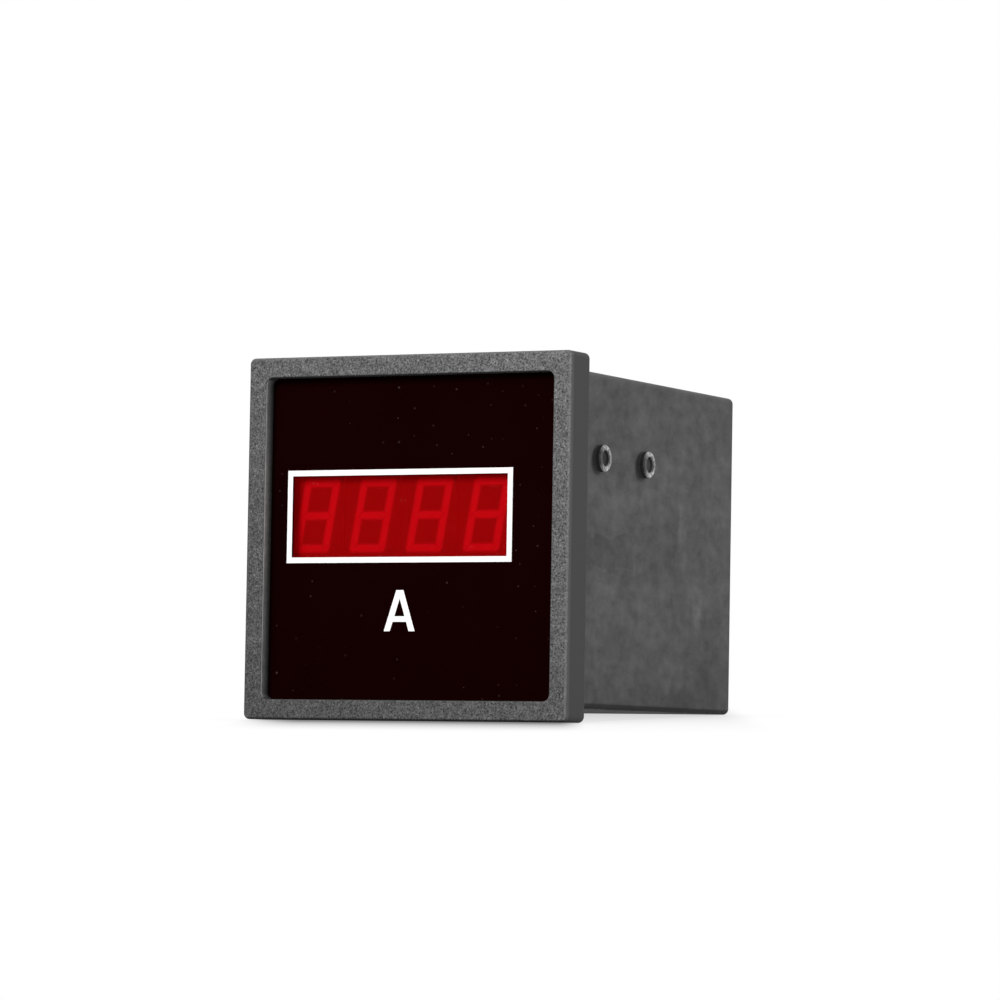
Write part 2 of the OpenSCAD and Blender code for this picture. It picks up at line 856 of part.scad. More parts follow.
// Dual-in-line chip lying on z = 0 with its length along X
module dip_chip(l) {
    n = floor(l / leg_pitch);
    leg_t = 0.25;
    leg_w = 0.5;
    foot = chip_row / 2;
    bend = chip_rise + chip_t / 2;
    translate([-l / 2, -chip_w / 2, chip_rise])
        cube([l, chip_w, chip_t]);
    for (i = [0 : n - 1], m = [0, 1])
        mirror([0, m, 0])
            translate([(i - (n - 1) / 2) * leg_pitch + leg_w / 2, 0, 0])
                rotate([90, 0, -90])
                    linear_extrude(height = leg_w)
                        polygon([
                            [-chip_w / 2 + leg_t, bend], [-foot, bend], [-foot, 0],
                            [-foot + leg_t, 0], [-foot + leg_t, bend - leg_t],
                            [-chip_w / 2 + leg_t, bend - leg_t]
                        ]);
}

// Chip on the display board whose left end is in line with the other's
module display_chip(l, z) {
    color([0.1, 0.1, 0.1])
        translate([chip_left + l / 2, 0, z])
            facing(display_y)
                dip_chip(l);
}

module driver_chip() display_chip(driver_l, driver_z);
module converter_chip() display_chip(chip_l, chip_z);

module trimmer_body(i) {
    color([0.1, 0.2, 0.5])
        translate([trimmer_x + i * trimmer_pitch, 0, trimmer_z])
            facing(display_y)
                difference() {
                    linear_extrude(height = trimmer_d)
                        rounded(trimmer_w, trimmer_w, small_round);
                    translate([0, 0, trimmer_d - rotor_d])
                        cylinder(r = rotor_r + rotor_gap, h = rotor_d + bite);
                }
}

module trimmer_rotor(i) {
    slot = rotor_r / 4;
    slot_l = 1.6 * rotor_r;
    color([0.85, 0.83, 0.75])
        translate([trimmer_x + i * trimmer_pitch, 0, trimmer_z])
            facing(display_y)
                difference() {
                    translate([0, 0, trimmer_d - rotor_d])
                        cylinder(r = rotor_r, h = rotor_d);
                    for (turn = [0, 90])
                        rotate([0, 0, turn])
                            translate([-slot_l / 2, -slot / 2, trimmer_d - rotor_d / 2])
                                cube([slot_l, slot, rotor_d]);
                }
}

module zero_trimmer() trimmer_body(0);
module span_trimmer() trimmer_body(1);
module zero_rotor() trimmer_rotor(0);
module span_rotor() trimmer_rotor(1);

// The slots that the contacts' tails pass through
module tail_slots(z0, h) {
    for (i = [0 : poles - 1])
        translate([pole_x(i) - tail_w / 2 - tail_gap, cell_y - tail_gap, z0])
            cube([tail_w + 2 * tail_gap, contact_t + 2 * tail_gap, h]);
}

module main_board() {
    color([0.1, 0.35, 0.2])
        difference() {
            translate([-board_x, main_front, board_z - board_t])
                cube([2 * board_x, main_rear - main_front, board_t]);
            tail_slots(board_z - board_t - bite, board_t + 2 * bite);
        }
}

module board_header() {
    l = header_n * leg_pitch;
    mid = header_w / 2;
    pin_y = header_y + header_w + pin_t;
    color([0.08, 0.08, 0.08])
        union() {
            translate([-l / 2, header_y, board_z])
                cube([l, header_w, header_w]);
            for (i = [0 : header_n - 1])
                translate([(i - (header_n - 1) / 2) * leg_pitch + pin_t / 2, 0, board_z])
                    rotate([90, 0, -90])
                        linear_extrude(height = pin_t)
                            polygon([
                                [-display_back, mid], [-display_back, mid + pin_t],
                                [-pin_y - pin_t, mid + pin_t], [-pin_y - pin_t, 0],
                                [-pin_y, 0], [-pin_y, mid]
                            ]);
        }
}

// Resistor along Y on z = 0, its wires bent down to the board
module resistor() {
    z = resistor_r + wire_r;
    reach = resistor_span / 2;
    translate([0, 0, z])
        rotate([90, 0, 0]) {
            cylinder(r = resistor_r, h = resistor_l, center = true);
            cylinder(r = wire_r, h = resistor_span, center = true);
        }
    for (s = [-1, 1])
        translate([0, s * reach, 0]) {
            cylinder(r = wire_r, h = z);
            translate([0, 0, z])
                sphere(wire_r);
        }
}

module resistors() {
    color([0.3, 0.55, 0.7])
        for (i = [0 : resistor_n - 1])
            translate([resistor_x + i * resistor_pitch, row_y + wire_r + resistor_span / 2, board_z])
                resistor();
}

module film_capacitors() {
    color([0.75, 0.2, 0.1])
        for (i = [0 : film_n - 1])
            translate([film_x + film_l / 2, row_y + film_t / 2 + i * film_pitch, board_z])
                linear_extrude(height = film_h)
                    rounded(film_l, film_t, small_round);
}

// Upright electrolytic capacitor on z = 0, with its rolled groove
module can_capacitor(r, h) {
    edge = r / 8;
    groove_r = 1.2 * edge;
    groove_z = 5 * edge;
    rotate_extrude()
        difference() {
            union() {
                square([r - edge, h]);
                translate([0, edge])
                    square([r, h - 2 * edge]);
                for (z = [edge, h - edge])
                    translate([r - edge, z])
                        circle(edge);
            }
            translate([r + groove_r / 2, groove_z])
                circle(groove_r);
        }
}

module reservoir_capacitor() {
    color([0.15, 0.2, 0.35])
        translate([part_x - reservoir_r, row_y + reservoir_r, board_z])
            can_capacitor(reservoir_r, reservoir_h);
}

module output_capacitor() {
    color([0.15, 0.2, 0.35])
        translate([output_x, bridge_y, board_z])
            can_capacitor(output_r, output_h);
}

module bridge_rectifier() {
    stand = 1.5;
    wire_ring = 0.7 * bridge_r;
    color([0.12, 0.12, 0.12])
        translate([bridge_x, bridge_y, board_z]) {
            translate([0, 0, stand])
                cylinder(r = bridge_r, h = bridge_h);
            for (turn = [45 : 90 : 315])
                rotate([0, 0, turn])
                    translate([wire_ring, 0, 0])
                        cylinder(r = wire_r, h = stand + bite);
        }
}

module voltage_regulator() {
    leg_w = 0.8;
    leg_t = 0.5;
    color([0.15, 0.15, 0.15])
        translate([sink_x, sink_y, board_z])
            difference() {
                union() {
                    translate([-regulator_w / 2, -regulator_t, regulator_rise])
                        cube([regulator_w, regulator_t, regulator_h]);
                    translate([-regulator_w / 2, -tab_t, regulator_rise])
                        cube([regulator_w, tab_t, regulator_h + tab_h]);
                    for (i = [-1, 0, 1])
                        translate([i * leg_pitch - leg_w / 2, -regulator_t / 2 - leg_t, 0])
                            cube([leg_w, leg_t, regulator_rise + bite]);
                }
                translate([0, -regulator_t, tab_z - board_z])
                    rotate([-90, 0, 0])
                        cylinder(r = sink_screw_r + pass_gap, h = 2 * regulator_t);
            }
}

module heat_sink() {
    color([0.7, 0.7, 0.72])
        translate([sink_x, sink_y, board_z])
            difference() {
                linear_extrude(height = sink_h)
                    union() {
                        translate([-sink_w / 2, 0])
                            square([sink_w, sink_t]);
                        for (s = [-1, 1])
                            translate([s * (sink_w - sink_t) / 2 - sink_t / 2, -sink_wing])
                                square([sink_t, sink_wing + sink_t]);
                    }
                translate([0, -bite, tab_z - board_z])
                    rotate([-90, 0, 0])
                        cylinder(r = sink_screw_r + screw_gap, h = sink_t + 2 * bite);
            }
}

module sink_screw() {
    color([0.75, 0.75, 0.72])
        translate([sink_x, sink_y - tab_t, tab_z])
            mirror([0, 1, 0])
                pan_screw(sink_screw_r, tab_t + sink_t, sink_head_r, sink_head_h, slot_w, slot_d);
}

module transformer_core() {
    window_x1 = core_w / 2 - core_limb;
    window_h1 = core_h - 2 * core_limb;
    color([0.4, 0.4, 0.42])
        translate([core_x, 0, board_z + core_h / 2])
            slab(core_y - core_stack / 2, core_y + core_stack / 2)
                difference() {
                    square([core_w, core_h], center = true);
                    for (s = [-1, 1])
                        translate([s * (window_x1 + core_leg / 2) / 2, 0])
                            square([window_x1 - core_leg / 2, window_h1], center = true);
                }
}

module transformer_bobbin() {
    color([0.85, 0.8, 0.65])
        translate([core_x, core_y, bobbin_z])
            difference() {
                union() {
                    linear_extrude(height = bobbin_h)
                        rounded(2 * (leg_x + bobbin_t), 2 * (leg_y + bobbin_t), small_round);
                    for (z = [0, bobbin_h - bobbin_t])
                        translate([0, 0, z])
                            linear_extrude(height = bobbin_t)
                                rounded(2 * flange_x, 2 * flange_y, small_round);
                    for (s = [-1, 1])
                        translate([-flange_x, s * (leg_y + flange_y) / 2 - (flange_y - leg_y) / 2,
                            board_z - bobbin_z])
                            cube([2 * flange_x, flange_y - leg_y, bobbin_z - board_z + bobbin_t]);
                }
                translate([0, 0, -bite])
                    linear_extrude(height = bobbin_h + 2 * bite)
                        square([2 * leg_x, 2 * leg_y], center = true);
            }
}

module transformer_winding() {
    inner = bobbin_t + winding_gap;
    color([0.7, 0.45, 0.2])
        translate([core_x, core_y, bobbin_z + bobbin_t + winding_gap])
            linear_extrude(height = bobbin_h - 2 * (bobbin_t + winding_gap))
                difference() {
                    rounded(2 * (flange_x - winding_inset), 2 * (flange_y - winding_inset), winding_round);
                    rounded(2 * (leg_x + inner), 2 * (leg_y + inner), small_round + winding_gap);
                }
}

module current_transformer() {
    color([0.12, 0.12, 0.14])
        translate([ring_x, ring_y, 0])
            difference() {
                union() {
                    translate([0, 0, ring_z])
                        rotate([90, 0, 0])
                            cylinder(r = ring_r, h = ring_t, center = true);
                    translate([-ring_foot_w / 2, -ring_t / 2, board_z])
                        cube([ring_foot_w, ring_t, ring_foot_h]);
                }
                translate([0, 0, ring_z])
                    rotate([90, 0, 0])
                        cylinder(r = ring_hole_r, h = ring_t + 2 * bite, center = true);
            }
}

module current_link() {
    straight = link_span - 2 * link_bend;
    color([0.75, 0.42, 0.25])
        translate([ring_x, ring_y, ring_z]) {
            rotate([90, 0, 0])
                cylinder(r = link_r, h = straight, center = true);
            for (m = [0, 1])
                mirror([0, m, 0])
                    translate([0, straight / 2, -link_bend]) {
                        rotate([90, 0, 90])
                            rotate_extrude(angle = 90)
                                translate([link_bend, 0])
                                    circle(link_r);
                        translate([0, link_bend, 0])
                            mirror([0, 0, 1])
                                cylinder(r = link_r, h = ring_z - link_bend - board_z);
                    }
        }
}

module terminal_block() {
    color([0.15, 0.15, 0.15])
        difference() {
            union() {
                translate([-block_w / 2, block_front, board_z])
                    cube([block_w, block_back - block_front, block_h]);
                translate([-block_w / 2 - flange_w, rear_inside - flange_t, board_z])
                    cube([block_w + 2 * flange_w, flange_t, block_h + flange_w]);
            }
            for (i = [0 : poles - 1])
                translate([pole_x(i), 0, 0]) {
                    translate([-cell_w / 2, cell_y, cell_z])
                        cube([cell_w, cell_depth + bite, cell_h]);
                    translate([0, cell_y + bite, screw_z])
                        rotate([90, 0, 0]) {
                            cylinder(r = collar_r + collar_gap, h = collar_l + collar_gap + bite);
                            cylinder(r = screw_r + pass_gap, h = screw_bore_d + bite);
                        }
                }
            tail_slots(board_z - bite, block_wall + 2 * bite);
        }
}

module terminal_contacts() {
    strip_z = cell_z + clamp_gap;
    strip_h = cell_h - 2 * clamp_gap;
    color([0.8, 0.65, 0.35])
        for (i = [0 : poles - 1])
            translate([pole_x(i), cell_y, 0])
                difference() {
                    union() {
                        translate([-clamp_w / 2, 0, strip_z])
                            cube([clamp_w, contact_t, strip_h]);
                        translate([-tail_w / 2, 0, board_z - board_t - tail_l])
                            cube([tail_w, contact_t, strip_z + bite - board_z + board_t + tail_l]);
                        translate([0, contact_t / 2, screw_z])
                            rotate([90, 0, 0])
                                cylinder(r = collar_r, h = collar_l + contact_t / 2);
                    }
                    translate([0, contact_t + bite, screw_z])
                        rotate([90, 0, 0])
                            cylinder(r = screw_r + screw_gap, h = collar_l + contact_t + 2 * bite);
                }
}

module clamp_plate(i) {
    chamfer = 1.2;
    x = clamp_w / 2;
    z = clamp_h / 2;
    color([0.8, 0.8, 0.78])
        translate([pole_x(i), 0, screw_z])
            slab(clamp_y, head_y)
                difference() {
                    polygon([
                        [-x + chamfer, -z], [x - chamfer, -z], [x, -z + chamfer], [x, z - chamfer],
                        [x - chamfer, z], [-x + chamfer, z], [-x, z - chamfer], [-x, -z + chamfer]
                    ]);
                    circle(screw_r + screw_gap);
                }
}

module clamp_screw(i) {
    color([0.8, 0.8, 0.78])
        translate([pole_x(i), head_y, screw_z])
            pan_screw(screw_r, screw_l, head_r, head_h, slot_w, slot_d);
}

module clamp_plate_1() clamp_plate(0);
module clamp_plate_2() clamp_plate(1);
module clamp_plate_3() clamp_plate(2);
module clamp_plate_4() clamp_plate(3);
module clamp_screw_1() clamp_screw(0);
module clamp_screw_2() clamp_screw(1);
module clamp_screw_3() clamp_screw(2);
module clamp_screw_4() clamp_screw(3);

bezel();
dial_foil();
filter_plate();
case();
digit_1();
digit_2();
digit_3();
digit_4();
diffuser_1();
diffuser_2();
diffuser_3();
diffuser_4();
display_board();
board_screws();
driver_chip();
zero_trimmer();
span_trimmer();
zero_rotor();
span_rotor();
main_board();
board_header();
converter_chip();
resistors();
film_capacitors();
reservoir_capacitor();
output_capacitor();
bridge_rectifier();
voltage_regulator();
heat_sink();
sink_screw();
transformer_core();
transformer_bobbin();
transformer_winding();
current_transformer();
current_link();
terminal_block();
terminal_contacts();
clamp_plate_1();
clamp_plate_2();
clamp_plate_3();
clamp_plate_4();
clamp_screw_1();
clamp_screw_2();
clamp_screw_3();
clamp_screw_4();
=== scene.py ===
import functools
import math

import bpy
from bpy.props import FloatProperty, FloatVectorProperty, IntProperty, PointerProperty
from mathutils import Matrix, Vector


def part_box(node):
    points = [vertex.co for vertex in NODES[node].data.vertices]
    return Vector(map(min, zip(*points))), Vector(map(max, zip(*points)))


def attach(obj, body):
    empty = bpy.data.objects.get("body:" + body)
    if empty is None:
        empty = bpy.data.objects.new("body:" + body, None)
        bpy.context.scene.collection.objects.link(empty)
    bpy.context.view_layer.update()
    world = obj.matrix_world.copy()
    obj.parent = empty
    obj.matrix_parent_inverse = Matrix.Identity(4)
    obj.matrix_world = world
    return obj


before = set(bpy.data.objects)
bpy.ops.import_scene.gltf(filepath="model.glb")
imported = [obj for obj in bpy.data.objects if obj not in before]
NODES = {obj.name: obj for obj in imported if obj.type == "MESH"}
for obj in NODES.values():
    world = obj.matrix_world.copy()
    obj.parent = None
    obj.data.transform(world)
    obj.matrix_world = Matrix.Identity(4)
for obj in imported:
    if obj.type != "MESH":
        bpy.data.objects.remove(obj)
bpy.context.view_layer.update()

bl_info = {
    "name": "Digital panel meter",
    "version": (1, 0, 0),
    "blender": (4, 5, 0),
    "location": "View3D > Sidebar > Panel meter",
    "description": "Finishes for a flush-mounted panel meter with a red four-digit display",
    "category": "Object",
}

MM = 0.001
DIGITS = range(1, 5)
POLES = range(1, 5)


# Sizes and places, in millimetres -------------------------------------------------------


def part(name):
    """The object of a part of the assembly."""
    if name not in NODES:
        raise RuntimeError("the assembly has no part called " + name)
    return NODES[name]


def box_mm(name):
    """Lowest and highest corner of a part."""
    lo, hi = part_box(name)
    return Vector(lo) / MM, Vector(hi) / MM


def middle(name):
    lo, hi = box_mm(name)
    return (lo + hi) / 2


FOIL_LO = box_mm("dial_foil")[0]
BEZEL_LO, BEZEL_HI = box_mm("bezel")
CASE_LO, CASE_HI = box_mm("case")
MAIN_LO, MAIN_HI = box_mm("main_board")
DISPLAY_LO, DISPLAY_HI = box_mm("display_board")

# Half the width of the bezel's opening
OPENING_SIDE = 32.0

# Centres of the clamp pegs, back from the panel and up from the middle
PEG_PLACES = (11.0, 31.0)
PEG_UP = 16.2

# The raised line stands this much in front of the foil
LINE_RELIEF = 0.1
FOIL_FACE = FOIL_LO.y + LINE_RELIEF

# Width of a digit's bars, how far their middle lines lie from its centre, and its slant
BAR_WIDTH = 1.6
BAR_SIDE, BAR_TOP = 3.2, 6.5
SLANT = math.radians(10)

# Terminal screws: radius of the shank, height of the head, and the thread's start behind
# the tip and its length
SCREW_RADIUS = 1.5
SCREW_HEAD = 2.2
THREAD_START, THREAD_LENGTH = 0.2, 7.4

# Parts on the boards that are finished alike
CHIPS = ("driver_chip", "converter_chip")
CANS = ("reservoir_capacitor", "output_capacitor")

# Where their moulded bodies end and bare legs begin: a chip's legs beside and behind it, the
# header's body from the front, a resistor's ends and underside, the rectifier's legs, and the
# regulator's body from below and the tab behind it
CHIP_LEG, CHIP_STAND = 0.45, 0.55
HEADER_BODY = (1.6, 4.15)
RESISTOR_END, RESISTOR_UNDER = 1.0, 0.34
RECTIFIER_LEG = 1.5
REGULATOR_BODY, REGULATOR_TAB = (4.0, 13.01), 1.3

# Legs that are soldered: their radius, how far the solder sinks into the board, and how far
# they lie from a can's middle, from the ends of the heavy wire and from a film capacitor's
# middle. The first film capacitor stands this far in, and the others follow at this pitch.
LEG_RADIUS, SUNK = 0.3, 0.02
CAN_LEG, LINK_END, FILM_LEG = 1.25, 1.2, 2.5
FILM_FIRST, FILM_PITCH, FILM_COUNT = 1.3, 3.2, 3

# Bare turns of the winding: radius of their corners, and the highest one below the tape's top
WINDING_CORNER, WINDING_TOP = 1.8, 0.4

# Floor: half its side, the gap that keeps it clear of the meter, and how much higher than the
# case's lowest point its rounded rear edge touches it
FLOOR_REACH, FLOOR_GAP, REAR_ROUND = 6000.0, 0.02, 0.3

# Rubbed and greasy patches on the case: centre and reach, each back and up, then brightness
# and softness. They reach this far across the case's sides.
MARK_DEPTH = 9.0
CASE_MARKS = (
    ((50.0, 1.0), (3.0, 14.0), 1.26, 0.6),
    ((57.5, -11.0), (3.4, 8.0), 1.24, 0.5),
    ((48.0, -31.0), (13.0, 4.6), 0.7, 0.4),
    ((14.0, -33.0), (22.0, 9.0), 0.85, 1.0),
    ((26.0, -13.0), (24.0, 7.0), 1.14, 0.6),
    ((64.0, -28.0), (11.0, 20.0), 0.76, 1.0),
    ((22.0, 8.0), (20.0, 6.0), 1.12, 0.6),
)

# Middle and colour of each band of a resistor, along it
RESISTOR_BANDS = (
    (-2.0, (0.16, 0.05, 0.015)),
    (-0.9, (0.01, 0.01, 0.01)),
    (0.2, (0.55, 0.16, 0.01)),
    (2.0, (0.5, 0.33, 0.08)),
)


# Settings -------------------------------------------------------------------------------


def colour(name, text, value):
    return FloatVectorProperty(
        name=name, description=text, subtype="COLOR", size=3, min=0, max=1, default=value
    )


def length(name, text, value):
    return FloatProperty(
        name=name,
        description=text,
        subtype="DISTANCE",
        unit="LENGTH",
        precision=5,
        default=value * MM,
    )


def share(name, text, value):
    return FloatProperty(name=name, description=text, subtype="FACTOR", min=0, max=1, default=value)


def angle(name, text, degrees):
    return FloatProperty(
        name=name, description=text, subtype="ANGLE", default=math.radians(degrees)
    )


def power(name, text, watts):
    return FloatProperty(name=name, description=text, unit="POWER", min=0, default=watts)


def spot(name, text, metres):
    return FloatVectorProperty(
        name=name,
        description=text,
        size=len(metres),
        subtype="TRANSLATION",
        unit="LENGTH",
        default=metres,
    )


class MeterFinish(bpy.types.PropertyGroup):
    """Colours and surface of the moulded and printed parts."""

    bezel_tone: colour("Bezel", "Colour of the bezel's grained front", (0.079, 0.079, 0.079))
    bezel_side_tone: colour("Bezel side", "Colour of its smooth sides", (0.058, 0.058, 0.058))
    grain_size: length("Grain size", "Size of the spark-eroded grain", 0.36)
    grain_contrast: share("Grain contrast", "How much the grain varies the bezel's colour", 1.0)
    case_tone: colour("Case", "Colour of the case", (0.113, 0.113, 0.113))
    case_marks: share("Case marks", "Strength of the handling marks on the case", 0.6)
    dial_tone: colour("Dial", "Colour of the dial foil", (0.0054, 0.0004, 0.0004))
    print_tone: colour("Print", "Colour of the printed line and letter", (0.86, 0.86, 0.86))
    dust: share("Dust", "How many dust specks lie on the dial", 0.5)


class MeterDisplay(bpy.types.PropertyGroup):
    """Colours of the display behind its red filter."""

    filter_tone: colour("Filter", "Colour of the filter plate", (0.5, 0.0, 0.002))
    filter_cover: share("Filter cover", "How much each face of the filter hides", 0.14)
    shell_tone: colour("Shell", "Colour of the display modules' faces", (0.182, 0.001, 0.001))
    segment_tone: colour("Segment", "Colour of the cast segments", (0.46, 0.002, 0.005))
    # Painted glow: emission that makes the cast segments and the shells' faces brighter than the
    # lamps light them
    segment_painted_glow: share("Segment glow", "Light that the cast segments pass on", 0.06)
    softness: length("Softness", "Width over which a segment's edge fades", 0.8)


class MeterLetter(bpy.types.PropertyGroup):
    """Unit letter printed under the window."""

    place: spot("Place", "Middle of the letter's foot, across and up", (-2.55 * MM, -18.4 * MM))
    width: length("Width", "Width of the letter at its foot", 6.9)
    height: length("Height", "Height of the letter", 8.1)
    stroke: length("Stroke", "Width of the letter's legs", 1.28)
    apex: length("Apex", "Width of the letter's flat top", 1.6)
    bar: length("Crossbar", "Thickness of the crossbar", 1.1)
    bar_height: length("Crossbar height", "Height of the crossbar's lower edge", 1.85)
    relief: length("Relief", "Thickness of the print", 0.03)


class MeterHardware(bpy.types.PropertyGroup):
    """Threads, solder and wire."""

    thread_pitch: length("Thread pitch", "Pitch of the terminal screws' thread", 0.5)
    thread_relief: length("Thread relief", "How far the thread stands out of the shank", 0.04)
    joint_radius: length("Solder joint", "Radius of a small solder joint", 0.8)
    joint_height: length("Solder height", "Height of a solder joint", 0.7)
    turn_pitch: length("Wire pitch", "Distance between the winding's outer turns", 0.34)
    turn_count: IntProperty(
        name="Turns", description="Number of bare turns above the tape", min=1, max=20, default=9
    )


class MeterStage(bpy.types.PropertyGroup):
    """Camera, floor and lights."""

    camera_place: spot("Camera place", "Where the camera stands", (0.4658, -0.8702, -0.0488))
    azimuth: angle("Azimuth", "Turn of the camera round the meter, to its right", 27.302)
    rise: angle("Rise", "Upward tilt of the camera", 3.293)
    roll: angle("Roll", "Roll of the camera", 0.973)
    lens: FloatProperty(
        name="Lens", description="Focal length", unit="CAMERA", min=1, default=180.04
    )
    world_level: FloatProperty(
        name="World", description="Strength of the light from all round", min=0, default=0.42
    )
    key_level: power("Key", "Power of the front lamp", 12.0)
    side_level: power("Side", "Power of the side lamp", 3.5)
    shadow_depth: share("Shadow", "How dark the floor becomes under the meter", 0.6)
    contact_depth: share("Contact shadow", "How much darker it is where the meter stands", 0.12)


# Node trees -----------------------------------------------------------------------------


def formula(operation, swapped=False):
    """A method for an operator, which adds a Math node."""

    def apply(self, other):
        pair = (other, self) if swapped else (self, other)
        return self.tree.maths(operation, *pair)

    return apply


class Value:
    """A node's output. In a formula, each operator between such values adds a Math node."""

    def __init__(self, tree, socket):
        self.tree, self.socket = tree, socket

    __add__ = formula("ADD")
    __radd__ = formula("ADD", swapped=True)
    __sub__ = formula("SUBTRACT")
    __rsub__ = formula("SUBTRACT", swapped=True)
    __mul__ = formula("MULTIPLY")
    __rmul__ = formula("MULTIPLY", swapped=True)
    __truediv__ = formula("DIVIDE")
    __rtruediv__ = formula("DIVIDE", swapped=True)
    __pow__ = formula("POWER")

    def __abs__(self):
        return self.tree.maths("ABSOLUTE", self)


class Tree:
    """Adds nodes to a tree. An input is a Value, which is linked, or a constant."""

    def __init__(self, tree):
        self.tree = tree

    def feed(self, socket, value):
        if isinstance(value, Value):
            self.tree.links.new(value.socket, socket)
        elif socket.type == "RGBA" and len(value) == 3:
            socket.default_value = (*value, 1.0)
        else:
            socket.default_value = value

    def node(self, kind, inputs=None, **settings):
        made = self.tree.nodes.new(kind)
        for key, value in settings.items():
            setattr(made, key, value)
        for key, value in (inputs or {}).items():
            self.feed(made.inputs[key], value)
        return made

    def add(self, kind, inputs=None, output=0, **settings):
        """Adds a node and returns one of its outputs."""
        return Value(self, self.node(kind, inputs, **settings).outputs[output])

    def named(self, node):
        """All outputs of a node by name."""
        return {socket.name: Value(self, socket) for socket in node.outputs}

    def grouped(self, name, **inputs):
        """Places a shared group and returns its outputs by name."""
        return self.named(self.node("ShaderNodeGroup", inputs, node_tree=TREES[name]()))

    def mask(self, name, **inputs):
        return self.grouped(name, **inputs)["Mask"]

    def clouded(self, vector, tone, size, amount):
        return self.grouped("clouding", Vector=vector, Color=tone, Size=size, Amount=amount)

    def maths(self, operation, a, b=0.0):
        return self.add("ShaderNodeMath", {0: a, 1: b}, operation=operation)

    def least(self, *values):
        return functools.reduce(lambda a, b: self.maths("MINIMUM", a, b), values)

    def most(self, *values):
        return functools.reduce(lambda a, b: self.maths("MAXIMUM", a, b), values)

    def vector(self, operation, a, b=(0.0, 0.0, 0.0), output=0):
        return self.add("ShaderNodeVectorMath", {0: a, 1: b}, output, operation=operation)

    def size(self, vector):
        return self.vector("LENGTH", vector, output="Value")

    def scaled(self, vector, factor):
        return self.add("ShaderNodeVectorMath", {0: vector, "Scale": factor}, operation="SCALE")

    def apart(self, vector, kind="ShaderNodeSeparateXYZ"):
        return [Value(self, socket) for socket in self.node(kind, {0: vector}).outputs]

    def joined(self, x, y, z):
        return self.add("ShaderNodeCombineXYZ", {0: x, 1: y, 2: z})

    def facing(self):
        """Which way the surface looks, along each of the object's axes."""
        return self.apart(self.add("ShaderNodeTexCoord", output="Normal"))

    def step(self, value, low, high):
        """0 below low, 1 above high, smooth between; low may be the larger."""
        ends = {"Value": value, "From Min": low, "From Max": high}
        return self.add("ShaderNodeMapRange", ends, interpolation_type="SMOOTHSTEP")

    def span(self, value, out_low, out_high, low=0.0, high=1.0):
        """Carries value from between low and high to between out_low and out_high."""
        ends = {"From Min": low, "From Max": high, "To Min": out_low, "To Max": out_high}
        return self.add("ShaderNodeMapRange", {"Value": value, **ends})

    def blend(self, factor, a, b):
        return self.add("ShaderNodeMix", {0: factor, 6: a, 7: b}, 2, data_type="RGBA")

    def shaded(self, tone, mask, level):
        """Takes a tone to level times its brightness where the mask is 1."""
        return self.scaled(tone, self.span(mask, 1.0, level))

    def noise(self, vector, scale, detail=2.0, roughness=0.5, output=0):
        inputs = {"Vector": vector, "Scale": scale, "Detail": detail, "Roughness": roughness}
        return self.add("ShaderNodeTexNoise", inputs, output)


def socket_kind(name, value):
    """The kind of socket for a name and a default; what has no default is a vector."""
    if name in ("Geometry", "Material", "Color"):
        return "NodeSocket" + name
    kinds = {int: "NodeSocketInt", float: "NodeSocketFloat"}
    return kinds.get(type(value), "NodeSocketVector")


def new_tree(label, kind, inputs, build):
    """A tree with these inputs and their defaults; build fills it and returns its outputs."""
    made = bpy.data.node_groups.new(label, kind)
    for name, value in inputs.items():
        socket = made.interface.new_socket(
            name=name, in_out="INPUT", socket_type=socket_kind(name, value)
        )
        if value is not None:
            socket.default_value = value
    t = Tree(made)
    outputs = build(t, t.named(t.node("NodeGroupInput")))
    for name in outputs:
        made.interface.new_socket(
            name=name, in_out="OUTPUT", socket_type=socket_kind(name, 0.0)
        )
    t.node("NodeGroupOutput", outputs)
    return made


# Shared trees ---------------------------------------------------------------------------

TREES = {}
GREY = (0.5, 0.5, 0.5, 1.0)


def shared(label, kind="ShaderNodeTree", **inputs):
    """Makes a function into a shared tree, which is built when it is first used."""

    def keep(build):
        make = functools.partial(new_tree, label, kind, inputs, build)
        TREES[build.__name__] = functools.cache(make)
        return build

    return keep


@shared("Clouding", Vector=None, Color=GREY, Size=10.0, Amount=0.1)
def clouding(t, given):
    """Slow clouds of lighter and darker colour, and of gloss."""
    cloud = t.noise(given["Vector"], 1.0 / given["Size"], 4.0, 0.6)
    swing = (cloud - 0.5) * (given["Amount"] * 4.0)
    return {"Color": t.scaled(given["Color"], swing + 1.0), "Value": cloud}


@shared("Moulded grain", Vector=None, Color=GREY, Size=0.4, Contrast=0.3, Peaks=0.1)
def grain(t, given):
    """Fine moulded grain with the odd light peak."""
    fine = t.noise(given["Vector"], 1.0 / given["Size"], 2.0, 0.65)
    swing = (fine - 0.5) * (given["Contrast"] * 4.0)
    bead = t.noise(given["Vector"], 1.1 / given["Size"], 0.0)
    peak = t.step(bead, 0.66, 0.76) * given["Peaks"]
    pit = t.step(bead, 0.32, 0.22) * 0.35
    level = t.most(swing + 1.0 + (peak * 6.0 - pit), 0.15)
    return {"Color": t.scaled(given["Color"], level), "Height": fine + peak}


def scattered(t, given, dimensions):
    """Scattered small specks, such as dust; Share of the cells hold one."""
    inputs = {"Vector": given["Vector"], "Scale": 1.0 / given["Spacing"]}
    cells = t.named(t.node("ShaderNodeTexVoronoi", inputs, voronoi_dimensions=dimensions))
    lot = t.apart(cells["Color"], "ShaderNodeSeparateColor")
    size = given["Size"] * t.span(lot[1], 0.4, 1.0)
    inside = t.step(cells["Distance"] * given["Spacing"], size, size * 0.5)
    held = t.maths("LESS_THAN", lot[0], given["Share"])
    return {"Mask": inside * held * t.span(lot[2] ** 2.0, 0.2, 1.0)}


@shared("Specks", Vector=None, Spacing=3.0, Size=0.15, Share=0.5)
def specks(t, given):
    return scattered(t, given, "3D")


